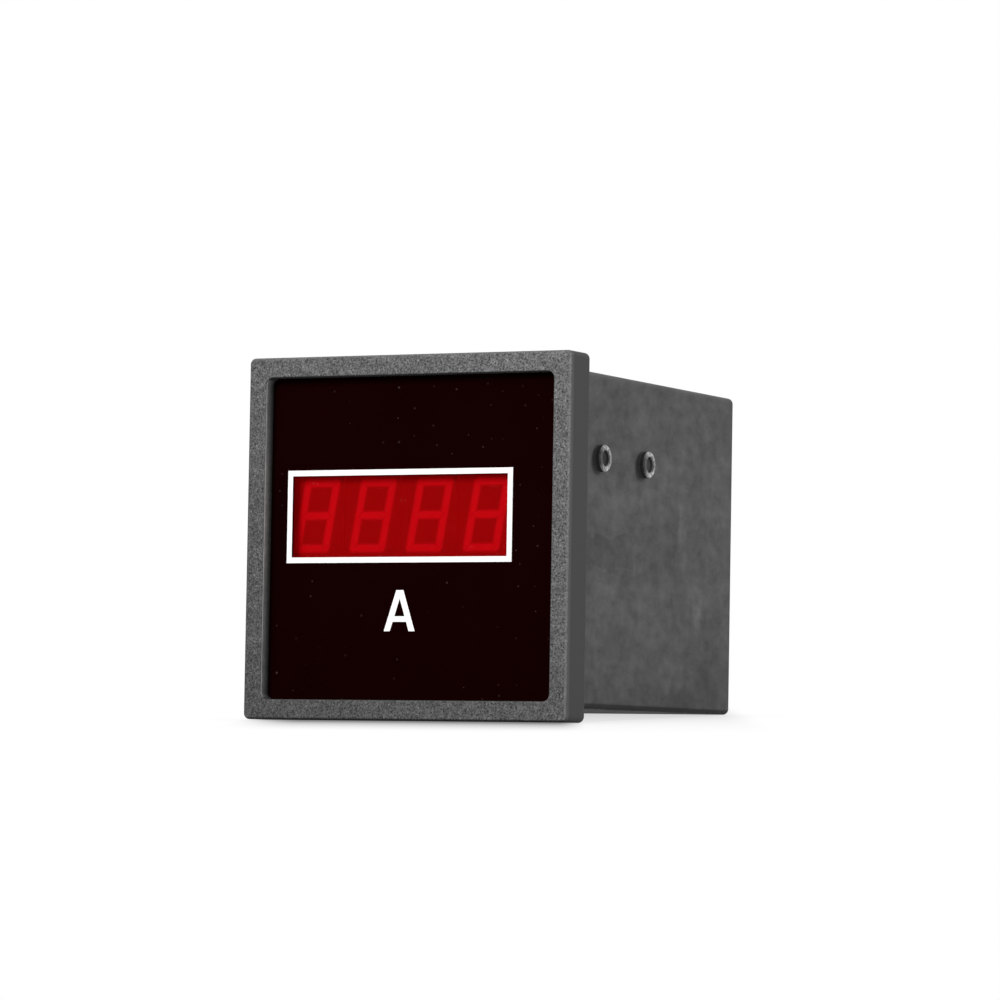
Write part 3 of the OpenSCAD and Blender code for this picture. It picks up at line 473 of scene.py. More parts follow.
@shared("Flat specks", Vector=None, Spacing=3.0, Size=0.15, Share=0.5)
def flat_specks(t, given):
    """The same on a flat face, whose two axes are the vector's first two."""
    return scattered(t, given, "2D")


@shared("Seven bars", Across=0.0, Up=0.0, Side=BAR_SIDE, Top=BAR_TOP, Slant=math.tan(SLANT))
def seven_bars(t, given):
    """Distance from the middle lines of a seven-segment digit that is centred on 0."""
    across = abs(given["Across"] - given["Up"] * given["Slant"])
    up = abs(given["Up"])
    past_side, past_top = across - given["Side"], up - given["Top"]
    lying = t.joined(t.most(past_side, 0.0), t.least(up, abs(past_top)), 0.0)
    standing = t.joined(past_side, t.most(past_top, 0.0), 0.0)
    return {"Distance": t.least(t.size(lying), t.size(standing))}


@shared("Drawn metal", Vector=None, Color=(0.7, 0.7, 0.7, 1.0), Amount=0.15, Roughness=0.35)
def drawn(t, given):
    """Drawing marks of sheet and wire: fine lines along the vector's long axis."""
    lines = t.noise(given["Vector"], 1.0, 3.0, 0.6)
    swing = (lines - 0.5) * (given["Amount"] * 4.0)
    return {
        "Color": t.scaled(given["Color"], swing + 1.0),
        "Roughness": given["Roughness"] + swing * 0.5,
        "Height": lines,
    }


@shared("Inside box", Vector=None, Low=None, High=None)
def boxed(t, given):
    """1 inside the box from Low to High, 0 outside."""
    over = t.vector("SUBTRACT", given["Vector"], given["Low"])
    under = t.vector("SUBTRACT", given["High"], given["Vector"])
    depth = t.least(*t.apart(t.vector("MINIMUM", over, under)))
    return {"Mask": t.maths("GREATER_THAN", depth, 0.0)}


@shared("Soft patch", Vector=None, Centre=None, Reach=(1.0, 1.0, 1.0))
def patch(t, given):
    """Soft round patch: 1 at Centre, falling to 0 at Reach, which is a size for each axis."""
    away = t.vector("SUBTRACT", given["Vector"], given["Centre"])
    return {"Mask": t.step(t.size(t.vector("DIVIDE", away, given["Reach"])), 1.0, 0.0)}


# Materials ------------------------------------------------------------------------------


def new_material(name):
    made = bpy.data.materials.new(name)
    made.use_nodes = True
    made.node_tree.nodes.clear()
    return made, Tree(made.node_tree)


def object_mm(t, turn=(0.0, 0.0, 0.0), stretch=(1.0, 1.0, 1.0)):
    """Object coordinates in millimetres, which may be turned and stretched for a pattern."""
    place = t.add("ShaderNodeTexCoord", output="Object")
    scale = tuple(s / MM for s in stretch)
    return t.add("ShaderNodeMapping", {"Vector": place, "Rotation": turn, "Scale": scale})


def finish(t, tone, roughness, height=None, depth=0.0, shine=0.5, glow=None, **plain):
    """The end of a material: height and depth, in millimetres, roughen the surface."""
    inputs = {"Base Color": tone, "Roughness": roughness, "Specular IOR Level": shine, **plain}
    if glow is not None:
        inputs.update({"Emission Color": tone, "Emission Strength": glow})
    if height is not None:
        inputs["Normal"] = t.add("ShaderNodeBump", {"Height": height, "Distance": depth * MM})
    shader = t.add("ShaderNodeBsdfPrincipled", inputs)
    t.node("ShaderNodeOutputMaterial", {"Surface": shader})


def dress(material, *names):
    """Gives parts of the assembly a material."""
    for name in names:
        for slot in part(name).material_slots:
            slot.material = material


def ink(t, place, tone, spread):
    """Printing ink, whose brightness varies a little."""
    return t.scaled(tone, t.span(t.noise(place, 3.0), 1 - spread, 1 + spread))


# Moulded parts --------------------------------------------------------------------------


def bezel_material(look):
    made, t = new_material("bezel_grained")
    place = object_mm(t)
    facing = t.facing()
    front = t.step(facing[1], -0.55, -0.9)
    grained = t.grouped(
        "grain",
        Vector=place,
        Color=look.bezel_tone,
        Size=look.grain_size / MM,
        Contrast=look.grain_contrast,
        Peaks=0.1,
    )
    smooth = t.clouded(place, look.bezel_side_tone, 9.0, 0.06)
    x, y, z = t.apart(place)
    # Painted light: the front is a little lighter towards the upper right corner, as though lit
    # from there
    lit = t.scaled(grained["Color"], x * 0.0035 + z * 0.005 + 1.0)
    worn = t.noise(place, 0.8)
    lit = t.scaled(lit, t.span(worn, 0.8, 1.2, 0.3, 0.7))
    tone = t.blend(front, smooth["Color"], lit)
    # Painted highlight on the upper and right edges, and painted shade on the other two
    edge = BEZEL_HI.x
    near_front = t.step(y, -7.0, -7.6)
    painted_highlight_edges = t.most(t.step(x, edge - 0.9, edge - 0.4), t.step(z, edge - 0.5, edge - 0.1))
    tone = t.blend(painted_highlight_edges * near_front * 0.35, tone, (0.2, 0.2, 0.2))
    painted_shade_edges = t.most(t.step(x, 0.45 - edge, 0.15 - edge), t.step(z, 0.5 - edge, 0.2 - edge))
    tone = t.shaded(tone, painted_shade_edges, 0.35)
    # Painted light on the opening's left wall: pale next to the front, fading into painted shade
    # next to the dial
    near_opening = t.step(abs(x), OPENING_SIDE + 1.5, OPENING_SIDE + 0.5)
    wall = t.step(facing[0], 0.6, 0.9) * near_opening
    depth = t.span(y, 0.15, 1.0, FOIL_FACE, BEZEL_LO.y) ** 1.6
    smear_and_painted_light = t.scaled((0.52, 0.52, 0.52), depth * t.span(worn, 0.85, 1.15, 0.3, 0.7))
    tone = t.blend(wall, tone, smear_and_painted_light)
    height = grained["Height"] * (front * 0.85 + 0.15)
    finish(t, tone, t.span(smooth["Value"], 0.5, 0.64), height, 0.06, shine=0.1)
    return made


def case_material(look):
    made, t = new_material("case_moulded")
    place = object_mm(t)
    x, y, z = t.apart(place)
    side = CASE_HI.x
    base = t.clouded(place, look.case_tone, 14.0, 0.32 * look.case_marks)
    smear_and_painted_light = object_mm(t, stretch=(1.0, 0.5, 0.8))
    smear = t.clouded(smear_and_painted_light, base["Color"], 2.0, 0.5 * look.case_marks)
    tone = smear["Color"]
    ragged = ragged_place(t, place)
    for centre, reach, level, softness in CASE_MARKS:
        mark = t.mask("patch", Vector=ragged, Centre=(side, *centre), Reach=(MARK_DEPTH, *reach))
        tone = t.scaled(tone, t.span(mark, 1.0, level, high=softness))
    greasy = t.mask(
        "boxed", Vector=ragged, Low=(side - 3.0, 2.5, -5.2), High=(side + 1.0, 27.0, 1.2)
    )
    tone = t.shaded(tone, greasy, 0.82)
    nicks = t.mask("specks", Vector=place, Spacing=7.0, Size=0.55, Share=0.22)
    tone = t.shaded(tone, nicks, 0.55)
    bright = t.mask("specks", Vector=place, Spacing=3.0, Size=0.3, Share=0.2)
    tone = t.blend(bright * 0.4, tone, (0.4, 0.4, 0.4))
    # Painted shade along the lower edge and the rounded underside, and the rear edge is a little
    # darker
    tone = t.shaded(tone, t.step(z, CASE_LO.z + 1.5, CASE_LO.z + 0.9), 0.4)
    tone = t.shaded(tone, t.step(z, CASE_LO.z + 0.7, CASE_LO.z + 0.3), 0.3)
    tone = t.shaded(tone, t.step(y, CASE_HI.y - 1.6, CASE_HI.y - 0.9), 0.75)
    # Painted shade on the pegs' walls, and painted highlights on their rims
    away = abs(x)
    peg_wall_shade = t.step(away, side - 1.1, side - 0.9) * t.step(away, side - 0.15, side - 0.35)
    tone = t.shaded(tone, peg_wall_shade, 0.5)
    tone = t.blend(peg_rim_highlights(t, x, y, z), tone, (0.8, 0.8, 0.8))
    fine = t.noise(place, 2.6, 3.0, 0.6)
    tone = t.scaled(tone, t.span(fine, 0.9, 1.1, 0.25, 0.75))
    finish(t, tone, t.span(smear["Value"], 0.42, 0.58, 0.2, 0.8), fine, 0.012, shine=0.03)
    return made


def ragged_place(t, place):
    """The place moved about by noise, which makes straight edges ragged."""
    noise = t.noise(place, 0.28, 3.0, output="Color")
    return t.vector("ADD", place, t.scaled(t.vector("SUBTRACT", noise, (0.5, 0.5, 0.5)), 5.0))


def peg_rim_highlights(t, x, y, z):
    """1 on the worn part of each peg's rim; both sides have pegs at the same places."""
    rings = []
    for peg_y in PEG_PLACES:
        back, up = y - peg_y, abs(z) - PEG_UP
        radius = t.size(t.joined(back, up, 0.0))
        ring = t.step(radius, 1.4, 1.7) * t.step(radius, 2.9, 2.6)
        # The painted highlight is strongest at the top, the bottom and the rear of the rim
        rings.append(ring * (t.span(abs(up) / 2.3, 0.15, 1.0, 0.3, 1.0) + back * 0.2))
    face = t.step(abs(x), CASE_HI.x - 0.35, CASE_HI.x - 0.15)
    worn = t.span(t.noise(t.joined(x, y, z), 1.6), 0.35, 1.0, 0.35, 0.6)
    return t.most(*rings) * face * (worn * 0.9)


def dial_material(look):
    made, t = new_material("dial_print")
    place = object_mm(t)
    low, high = print_box()
    line = t.mask("boxed", Vector=place, Low=low, High=high)
    # Dust gathers towards the upper right; the lower left corner is scuffed
    corner = t.mask(
        "patch", Vector=place, Centre=(24.0, FOIL_FACE, 26.0), Reach=(40.0, 40.0, 40.0)
    )
    share_here = t.span(corner, 0.5, 1.2) * look.dust
    dust = t.mask("flat_specks", Vector=flat(t, place), Spacing=3.8, Size=0.34, Share=share_here)
    scuffed = t.mask(
        "patch", Vector=place, Centre=(-22.0, FOIL_FACE, -24.0), Reach=(12.0, 12.0, 10.0)
    )
    scratch = object_mm(t, turn=(0.0, math.radians(32), 0.0), stretch=(0.5, 1.0, 7.0))
    scuff = t.step(t.noise(scratch, 1.0), 0.68, 0.74) * scuffed * 0.3
    black = t.clouded(place, look.dial_tone, 20.0, 0.1)
    tone = t.blend(dust * 0.06, black["Color"], (0.5, 0.36, 0.38))
    tone = t.blend(scuff * 0.06, tone, (0.5, 0.45, 0.45))
    tone = t.blend(line, tone, ink(t, place, look.print_tone, 0.03))
    finish(t, tone, line * 0.3 + scuff + 0.16, t.noise(place, 0.3), 0.01, shine=0.0)
    return made


def flat(t, place):
    """The place on an upright face: across and up."""
    x, _, z = t.apart(place)
    return t.joined(x, z, 0.0)


def print_box():
    """Low and high corner of the raised line round the window, with a little spare."""
    spare = 0.02
    face = [v.co / MM for v in part("dial_foil").data.vertices]
    raised = [p for p in face if p.y < FOIL_FACE - 0.5 * LINE_RELIEF]
    low = (min(p.x for p in raised) - spare, FOIL_LO.y - 1.0, min(p.z for p in raised) - spare)
    high = (max(p.x for p in raised) + spare, FOIL_FACE + spare, max(p.z for p in raised) + spare)
    return low, high


class METER_OT_bezel(bpy.types.Operator):
    """Gives the bezel its spark-eroded front and smooth sides"""

    bl_idname = "meter.bezel"
    bl_label = "Finish bezel"

    def execute(self, context):
        dress(bezel_material(context.scene.meter_finish), "bezel")
        return {"FINISHED"}


class METER_OT_case(bpy.types.Operator):
    """Gives the case its smooth, handled surface"""

    bl_idname = "meter.case"
    bl_label = "Finish case"

    def execute(self, context):
        dress(case_material(context.scene.meter_finish), "case")
        return {"FINISHED"}


class METER_OT_dial(bpy.types.Operator):
    """Gives the dial foil its glossy print, white line and dust"""

    bl_idname = "meter.dial"
    bl_label = "Finish dial"

    def execute(self, context):
        dress(dial_material(context.scene.meter_finish), "dial_foil")
        return {"FINISHED"}


# New pieces -----------------------------------------------------------------------------


def placed(name, data):
    """A new object in the scene."""
    made = bpy.data.objects.new(name, data)
    bpy.context.scene.collection.objects.link(made)
    return made


def plain_mesh(name, holder):
    """The mesh that an object's curve or modifier makes; the object itself is removed."""
    holder.update_tag()
    depsgraph = bpy.context.evaluated_depsgraph_get()
    mesh = bpy.data.meshes.new_from_object(holder.evaluated_get(depsgraph), depsgraph=depsgraph)
    bpy.data.objects.remove(holder)
    if not mesh.polygons:
        raise RuntimeError(name + " has no faces")
    return mesh


def add_piece(name, mesh, material, body):
    """Keeps a mesh as a piece that rides on a body and takes its finish from a slot."""
    mesh.materials.clear()
    mesh.materials.append(material)
    mesh.validate()
    mesh.update()
    piece = placed(name, mesh)
    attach(piece, body)
    return piece


def letter_outlines(size):
    """Outer outline and counter of the letter, in metres, from its foot's middle."""
    foot, top, height = size.width / 2, size.apex / 2, size.height
    lean = (foot - top) / height
    inside = foot - size.stroke * math.hypot(1.0, lean)
    bar_low, bar_high = size.bar_height, size.bar_height + size.bar

    def inner(z):
        return inside - lean * z

    outer = [
        (-foot, 0), (-inside, 0), (-inner(bar_low), bar_low), (inner(bar_low), bar_low),
        (inside, 0), (foot, 0), (top, height), (-top, height),
    ]
    peak = min(inside / lean, height - 0.9 * size.stroke)
    return outer, [(-inner(bar_high), bar_high), (inner(bar_high), bar_high), (0, peak)]


class METER_OT_letter(bpy.types.Operator):
    """Prints the unit letter under the window"""

    bl_idname = "meter.letter"
    bl_label = "Print unit letter"

    def execute(self, context):
        size = context.scene.meter_letter
        look = context.scene.meter_finish
        curve = bpy.data.curves.new("unit_letter", "CURVE")
        curve.dimensions = "2D"
        curve.fill_mode = "BOTH"
        curve.extrude = size.relief / 2
        for outline in letter_outlines(size):
            spline = curve.splines.new("POLY")
            spline.points.add(len(outline) - 1)
            for point, (x, z) in zip(spline.points, outline):
                point.co = (x, z, 0, 1)
            spline.use_cyclic_u = True
        mesh = plain_mesh("unit_letter", placed("letter_curve", curve))
        stand = Matrix.Rotation(math.radians(90), 4, "X")
        at = Matrix.Translation((size.place[0], FOIL_FACE * MM - size.relief / 2, size.place[1]))
        mesh.transform(at @ stand)
        made, t = new_material("letter_print")
        place = object_mm(t)
        roughness = t.span(t.noise(place, 1.2), 0.4, 0.5)
        finish(t, ink(t, place, look.print_tone, 0.04), roughness, shine=0.2)
        add_piece("unit_letter", mesh, made, "housing")
        return {"FINISHED"}


# Display --------------------------------------------------------------------------------


class METER_OT_display(bpy.types.Operator):
    """Gives the filter, the display modules and their cast segments their reds"""

    bl_idname = "meter.display"
    bl_label = "Finish display"

    def execute(self, context):
        look = context.scene.meter_display
        dress(self.filter_material(look), "filter_plate")
        dress(self.shell_material(look), *(f"digit_{i}" for i in DIGITS))
        dress(self.segment_material(look), *(f"diffuser_{i}" for i in DIGITS))
        return {"FINISHED"}

    def filter_material(self, look):
        made, t = new_material("filter_red")
        place = object_mm(t)
        tone = t.clouded(place, look.filter_tone, 16.0, 0.06)
        dust = t.mask("flat_specks", Vector=flat(t, place), Spacing=4.0, Size=0.2, Share=0.4)
        shown = t.blend(dust * 0.3, tone["Color"], (0.9, 0.3, 0.3))
        cover = t.span(dust, look.filter_cover, 0.5)
        finish(t, shown, t.span(tone["Value"], 0.05, 0.12), shine=0.01, Alpha=cover)
        return made

    def face_tone(self, t, place, look):
        """Colour of the display's face: the bars fade softly into the shell round them."""
        first, last = middle("digit_1"), middle("digit_4")
        pitch = (last.x - first.x) / (len(DIGITS) - 1)
        x, _, z = t.apart(place)
        along = (x - first.x) / pitch
        across = (along - t.maths("ROUND", along)) * pitch
        bars = t.grouped("seven_bars", Across=across, Up=z - first.z)["Distance"]
        half, fade = BAR_WIDTH / 2, look.softness / MM / 2
        lit = t.step(bars, half + fade, half - fade)
        return t.blend(lit, look.shell_tone, look.segment_tone)

    def shell_material(self, look):
        made, t = new_material("display_shell")
        place = object_mm(t)
        tone = self.face_tone(t, place, look)
        shown = t.clouded(place, tone, 5.0, 0.05)["Color"]
        fine = t.noise(place, 3.0)
        # Painted glow: the shells' upright sides glow, which fills the shade in the seams between
        # the modules, so the seams stay faint
        side = t.step(abs(t.facing()[0]), 0.5, 0.9)
        glow = t.span(side, look.segment_painted_glow, 0.75)
        finish(t, shown, t.span(fine, 0.5, 0.7), fine, 0.01, shine=0.01, glow=glow)
        return made

    def segment_material(self, look):
        made, t = new_material("display_segment")
        place = object_mm(t)
        tone = self.face_tone(t, place, look)
        shown = t.clouded(place, tone, 2.4, 0.06)
        roughness = t.span(shown["Value"], 0.3, 0.45)
        finish(t, shown["Color"], roughness, shine=0.01, glow=look.segment_painted_glow)
        return made


# Boards and their parts -----------------------------------------------------------------


def plastic(name, tone, roughness, cloud=6.0, amount=0.08, bump=0.015, legs=None, extra=None):
    """Moulded plastic. What lies outside the box legs, if it is given, is tinned metal."""
    made, t = new_material(name)
    place = object_mm(t)
    body = t.clouded(place, tone, cloud, amount)
    shown, metallic = body["Color"], 0.0
    if extra:
        shown = extra(t, place, shown)
    if legs:
        inside = t.mask("boxed", Vector=place, Low=legs[0], High=legs[1])
        tinned = t.grouped("drawn", Vector=place, Color=(0.62, 0.61, 0.58), Roughness=0.3)
        shown = t.blend(inside, tinned["Color"], shown)
        metallic = 1.0 - inside
    fine = t.noise(place, 2.2, 3.0, 0.6)
    varied = t.span(body["Value"], roughness - 0.06, roughness + 0.06)
    finish(t, shown, varied, fine, bump, Metallic=metallic)
    return made


def metal(name, tone, roughness, stretch=(1.0, 1.0, 1.0), amount=0.12, bump=0.004, extra=None):
    """Sheet, wire or turned metal with drawing marks, longest where stretch is smallest."""
    made, t = new_material(name)
    place = object_mm(t)
    along = object_mm(t, stretch=stretch)
    worked = t.grouped("drawn", Vector=along, Color=tone, Amount=amount, Roughness=roughness)
    tarnish = t.clouded(place, worked["Color"], 4.0, 0.06)
    shown, height = tarnish["Color"], worked["Height"]
    if extra:
        shown, height = extra(t, place, shown, height)
    finish(t, shown, worked["Roughness"], height, bump, Metallic=1.0)
    return made


def board_material():
    """Green solder resist with tracks under it, and bare glass fibre on the cut edges."""
    made, t = new_material("board_resist")
    place = object_mm(t)
    x, y, z = t.apart(place)
    # The main board lies flat and the display board stands, so both axes are used
    standing = t.maths("LESS_THAN", y, DISPLAY_HI.y + 0.5)
    up = standing * z + (1.0 - standing) * y
    sheet = t.joined(x, up, 0.0)
    bricks = {"Scale": 0.19, "Mortar Size": 0.09, "Brick Width": 1.9, "Row Height": 0.5}
    tracks = t.add("ShaderNodeTexBrick", {"Vector": sheet, **bricks}, "Fac", offset=0.35)
    track = tracks * t.step(t.noise(sheet, 0.12, 1.0), 0.42, 0.5)
    weave = t.maths("SINE", x * 9.0) * t.maths("SINE", up * 9.0)
    green = t.clouded(place, (0.012, 0.11, 0.04), 9.0, 0.08)
    tone = t.blend(track * 0.8, green["Color"], (0.045, 0.26, 0.09))
    tone = t.blend(t.span(weave, 0.0, 0.12, -1.0, 1.0), tone, (0.1, 0.3, 0.12))
    # A cut edge doesn't look the way the board's faces do
    across = t.blend(standing, t.joined(0, 0, 1), t.joined(0, 1, 0))
    normal = t.add("ShaderNodeTexCoord", output="Normal")
    level = abs(t.vector("DOT_PRODUCT", normal, across, "Value"))
    tone = t.blend(t.step(level, 0.7, 0.3), tone, (0.42, 0.4, 0.2))
    finish(t, tone, t.span(green["Value"], 0.24, 0.36), track + weave * 0.1, 0.03)
    return made


def chip_mark(name):
    """Darkens the notch at a chip's left end and the dot by its first leg."""
    lo, hi = box_mm(name)
    notch_at = (lo.x, lo.y, (lo.z + hi.z) / 2)
    dot_at = (lo.x + 1.9, lo.y, lo.z + 2.2)

    def mark(t, place, tone):
        notch = t.mask("patch", Vector=place, Centre=notch_at, Reach=(1.4, 1.4, 1.4))
        dot = t.mask("patch", Vector=place, Centre=dot_at, Reach=(0.8, 0.8, 0.8))
        dark = t.most(t.step(notch, 0.1, 0.2), t.step(dot, 0.1, 0.2))
        return t.blend(dark, tone, (0.008, 0.008, 0.008))

    return mark


def sleeve_stripe(name):
    """Pale stripe down the minus side of a can, and its bare aluminium top."""
    lo, hi = box_mm(name)
    width = hi.x - lo.x
    centre = middle(name)

    def mark(t, place, tone):
        x, y, z = t.apart(place)
        side = t.maths("GREATER_THAN", x, hi.x - 0.12 * width)
        gap = 1.0 - t.maths("GREATER_THAN", t.maths("FRACT", z * 0.3), 0.35)
        dashed = t.maths("LESS_THAN", abs(y - (lo.y + hi.y) / 2), 0.8)
        tone = t.blend(side * (1.0 - gap * dashed), tone, (0.55, 0.57, 0.6))
        top = t.maths("GREATER_THAN", z, hi.z - 0.05)
        away = t.vector("SUBTRACT", place, (centre.x, centre.y, hi.z))
        inner = t.step(t.size(away), width * 0.4, width * 0.38)
        away_x, away_y, _ = t.apart(away)
        # Painted shade in the scored cross on the bare top
        score = t.step(t.least(abs(away_x), abs(away_y)), 0.2, 0.12)
        bare = t.blend(score, (0.6, 0.6, 0.62), (0.2, 0.2, 0.21))
        return t.blend(top * inner, tone, bare)

    return mark


def colour_bands(t, place, tone):
    """Four colour bands of a resistor."""
    centre = middle("resistors").y
    y = t.apart(place)[1]
    for offset, band in RESISTOR_BANDS:
        near = abs(y - (centre + offset))
        tone = t.blend(t.maths("LESS_THAN", near, 0.3), tone, band)
    return tone


class METER_OT_boards(bpy.types.Operator):
    """Finishes both circuit boards and the screws that hold them"""

    bl_idname = "meter.boards"
    bl_label = "Finish boards"

    def execute(self, context):
        dress(board_material(), "display_board", "main_board")
        zinc = metal("screw_zinc", (0.62, 0.62, 0.6), 0.3, (2.0, 2.0, 2.0))
        dress(zinc, "board_screws", "sink_screw")
        return {"FINISHED"}


class METER_OT_parts(bpy.types.Operator):
    """Finishes the chips, trimmers, resistors, capacitors and other parts on the boards"""

    bl_idname = "meter.parts"
    bl_label = "Finish board parts"

    def execute(self, context):
        self.bodies_with_legs()
        blue = plastic("trimmer_blue", (0.012, 0.06, 0.3), 0.3, bump=0.006)
        dress(blue, "zero_trimmer", "span_trimmer")
        ivory = plastic("rotor_ivory", (0.66, 0.62, 0.5), 0.45, bump=0.006)
        dress(ivory, "zero_rotor", "span_rotor")
        dress(plastic("film_epoxy", (0.42, 0.05, 0.02), 0.2, 3.0, bump=0.05), "film_capacitors")
        for name in CANS:
            stripe = sleeve_stripe(name)
            tone = (0.012, 0.03, 0.12)
            dress(plastic(name + "_sleeve", tone, 0.28, bump=0.004, extra=stripe), name)
        dress(metal("sink_aluminium", (0.7, 0.7, 0.72), 0.38, (0.6, 0.6, 8.0)), "heat_sink")
        return {"FINISHED"}

    def bodies_with_legs(self):
        """Each has the box of its moulded body, and tinned legs outside it."""
        for name in CHIPS:
            lo, hi = box_mm(name)
            low = (lo.x - 1, lo.y - 1, lo.z + CHIP_LEG)
            high = (hi.x + 1, hi.y - CHIP_STAND, hi.z - CHIP_LEG)
            tone = (0.022, 0.022, 0.024)
            epoxy = plastic(name + "_epoxy", tone, 0.55, legs=(low, high), extra=chip_mark(name))
            dress(epoxy, name)
        lo, hi = box_mm("board_header")
        low = (lo.x, lo.y + HEADER_BODY[0], lo.z - 1)
        high = (hi.x, lo.y + HEADER_BODY[1], hi.z + 1)
        nylon = plastic("header_nylon", (0.02, 0.02, 0.02), 0.5, legs=(low, high))
        dress(nylon, "board_header")
        lo, hi = box_mm("resistors")
        low = (lo.x - 1, lo.y + RESISTOR_END, lo.z + RESISTOR_UNDER)
        high = (hi.x + 1, hi.y - RESISTOR_END, hi.z + 1)
        tone = (0.09, 0.28, 0.45)
        lacquer = plastic(
            "resistor_lacquer", tone, 0.22, bump=0.004, legs=(low, high), extra=colour_bands
        )
        dress(lacquer, "resistors")
        lo, hi = box_mm("bridge_rectifier")
        low, high = (lo.x - 1, lo.y - 1, lo.z + RECTIFIER_LEG), (hi.x + 1, hi.y + 1, hi.z + 1)
        epoxy = plastic("rectifier_epoxy", (0.03, 0.03, 0.03), 0.5, legs=(low, high))
        dress(epoxy, "bridge_rectifier")
        lo, hi = box_mm("voltage_regulator")
        low = (lo.x - 1, lo.y - 1, lo.z + REGULATOR_BODY[0])
        high = (hi.x + 1, hi.y - REGULATOR_TAB, lo.z + REGULATOR_BODY[1])
        epoxy = plastic("regulator_epoxy", (0.025, 0.025, 0.025), 0.5, legs=(low, high))
        dress(epoxy, "voltage_regulator")


def laminations(t, place, tone, height):
    """Edges of the stacked sheets, half a millimetre each."""
    y = t.apart(place)[1]
    edge_on = t.step(abs(t.facing()[1]), 0.8, 0.4)
    gap = t.step(t.maths("SINE", y * (4 * math.pi)), -0.6, -0.95) * edge_on
    rust = t.step(t.noise(place, 0.5, 4.0, 0.7), 0.55, 0.75)
    tone = t.blend(rust * 0.35, tone, (0.2, 0.11, 0.06))
    return t.blend(gap, tone, (0.03, 0.03, 0.03)), height - gap * 6.0


def tape_laps(t, place, tone):
    """Dark line where each lap of tape ends."""
    z = t.apart(place)[2]
    lap = t.step(t.maths("FRACT", z * 0.24), 0.03, 0.0)
    return t.blend(lap * 0.7, tone, (0.25, 0.13, 0.03))


class METER_OT_transformer(bpy.types.Operator):
    """Finishes the transformer: laminations, bobbin and taped winding"""

    bl_idname = "meter.transformer"
    bl_label = "Finish transformer"

    def execute(self, context):
        tone = (0.24, 0.24, 0.26)
        iron = metal("core_laminations", tone, 0.42, (1.0, 6.0, 1.0), 0.08, 0.01, laminations)
        dress(iron, "transformer_core")
        dress(plastic("bobbin_nylon", (0.68, 0.62, 0.44), 0.42), "transformer_bobbin")
        tone = (0.5, 0.28, 0.06)
        tape = plastic("winding_tape", tone, 0.22, 5.0, 0.12, 0.02, extra=tape_laps)
        dress(tape, "transformer_winding")
        return {"FINISHED"}


class METER_OT_sensor(bpy.types.Operator):
    """Finishes the current transformer and the heavy wire through it"""

    bl_idname = "meter.sensor"
    bl_label = "Finish current sensor"

    def execute(self, context):
        potting = plastic("sensor_potting", (0.03, 0.03, 0.035), 0.36, 5.0, 0.12)
        dress(potting, "current_transformer")
        dress(metal("link_copper", (0.72, 0.34, 0.17), 0.3, (3.0, 0.5, 3.0)), "current_link")
        return {"FINISHED"}


class METER_OT_terminals(bpy.types.Operator):
    """Finishes the terminal block, its contacts, clamp plates and screws"""

    bl_idname = "meter.terminals"
    bl_label = "Finish terminals"

    def execute(self, context):
        nylon = plastic("block_nylon", (0.035, 0.035, 0.035), 0.48, 4.0, 0.1, 0.025)
        dress(nylon, "terminal_block")
        brass = metal("contact_brass", (0.75, 0.56, 0.26), 0.28, (4.0, 4.0, 0.6))
        dress(brass, "terminal_contacts")
        zinc = metal("clamp_zinc", (0.64, 0.63, 0.58), 0.34, (0.8, 5.0, 5.0))
        dress(zinc, *(f"clamp_plate_{i}" for i in POLES))
        for i in POLES:
            dress(screw_material(i), f"clamp_screw_{i}")
        return {"FINISHED"}


def screw_material(i):
    """Zinc with turning rings on the head, and a thread's dark lines on the shank."""
    name = f"clamp_screw_{i}"
    centre = middle(name)
    head = box_mm(name)[1].y - SCREW_HEAD
    pitch = bpy.context.scene.meter_hardware.thread_pitch / MM

    def turned(t, place, tone, height):
        x, y, z = t.apart(t.vector("SUBTRACT", place, (centre.x, 0.0, centre.z)))
        rings = t.maths("SINE", t.maths("SQRT", x * x + z * z) * 24.0)
        turn = t.maths("ARCTAN2", z, x) / (2 * math.pi)
        shank = t.maths("LESS_THAN", y, head - 0.02)
        groove = abs(t.maths("FRACT", y / pitch + turn) - 0.5) * shank
        # Painted shade in the thread's grooves
        shown = t.blend(groove * 1.2, tone, (0.12, 0.12, 0.115))
        return shown, height - groove * 30.0 + rings * (1.0 - shank) * 0.6

    return metal(name + "_zinc", (0.66, 0.655, 0.62), 0.26, (2.0, 2.0, 2.0), 0.08, 0.006, turned)


# Repeated shapes, grown by Geometry Nodes -----------------------------------------------


def close_tree(t, geometry, material):
    """Realizes the copies, shades them smooth and sets their material."""
    real = t.add("GeometryNodeRealizeInstances", {"Geometry": geometry})
    smooth = t.add("GeometryNodeSetShadeSmooth", {"Geometry": real, "Shade Smooth": True})
    done = t.add("GeometryNodeSetMaterial", {"Geometry": smooth, "Material": material})
    return {"Geometry": done}


def swept(t, path, sides, radius):
    """A bar with this many sides along a curve."""
    outline = {"Resolution": sides, "Radius": radius}
    profile = t.add("GeometryNodeCurvePrimitiveCircle", outline)
    inputs = {"Curve": path, "Profile Curve": profile, "Fill Caps": True}
    return t.add("GeometryNodeCurveToMesh", inputs)


def grow(name, tree, base, values, material, body, place=None):
    """Runs a shared tree on a mesh or curve and keeps the result as a plain piece."""
    holder = placed(name + "_base", base)
    modifier = holder.modifiers.new("Grow", "NODES")
    modifier.node_group = TREES[tree]()
    values = dict(values, Material=material)
    for item in modifier.node_group.interface.items_tree:
        if item.in_out == "INPUT" and item.name in values:
            modifier[item.identifier] = values[item.name]
    mesh = plain_mesh(name, holder)
    if place:
        mesh.transform(place)
    return add_piece(name, mesh, material, body)


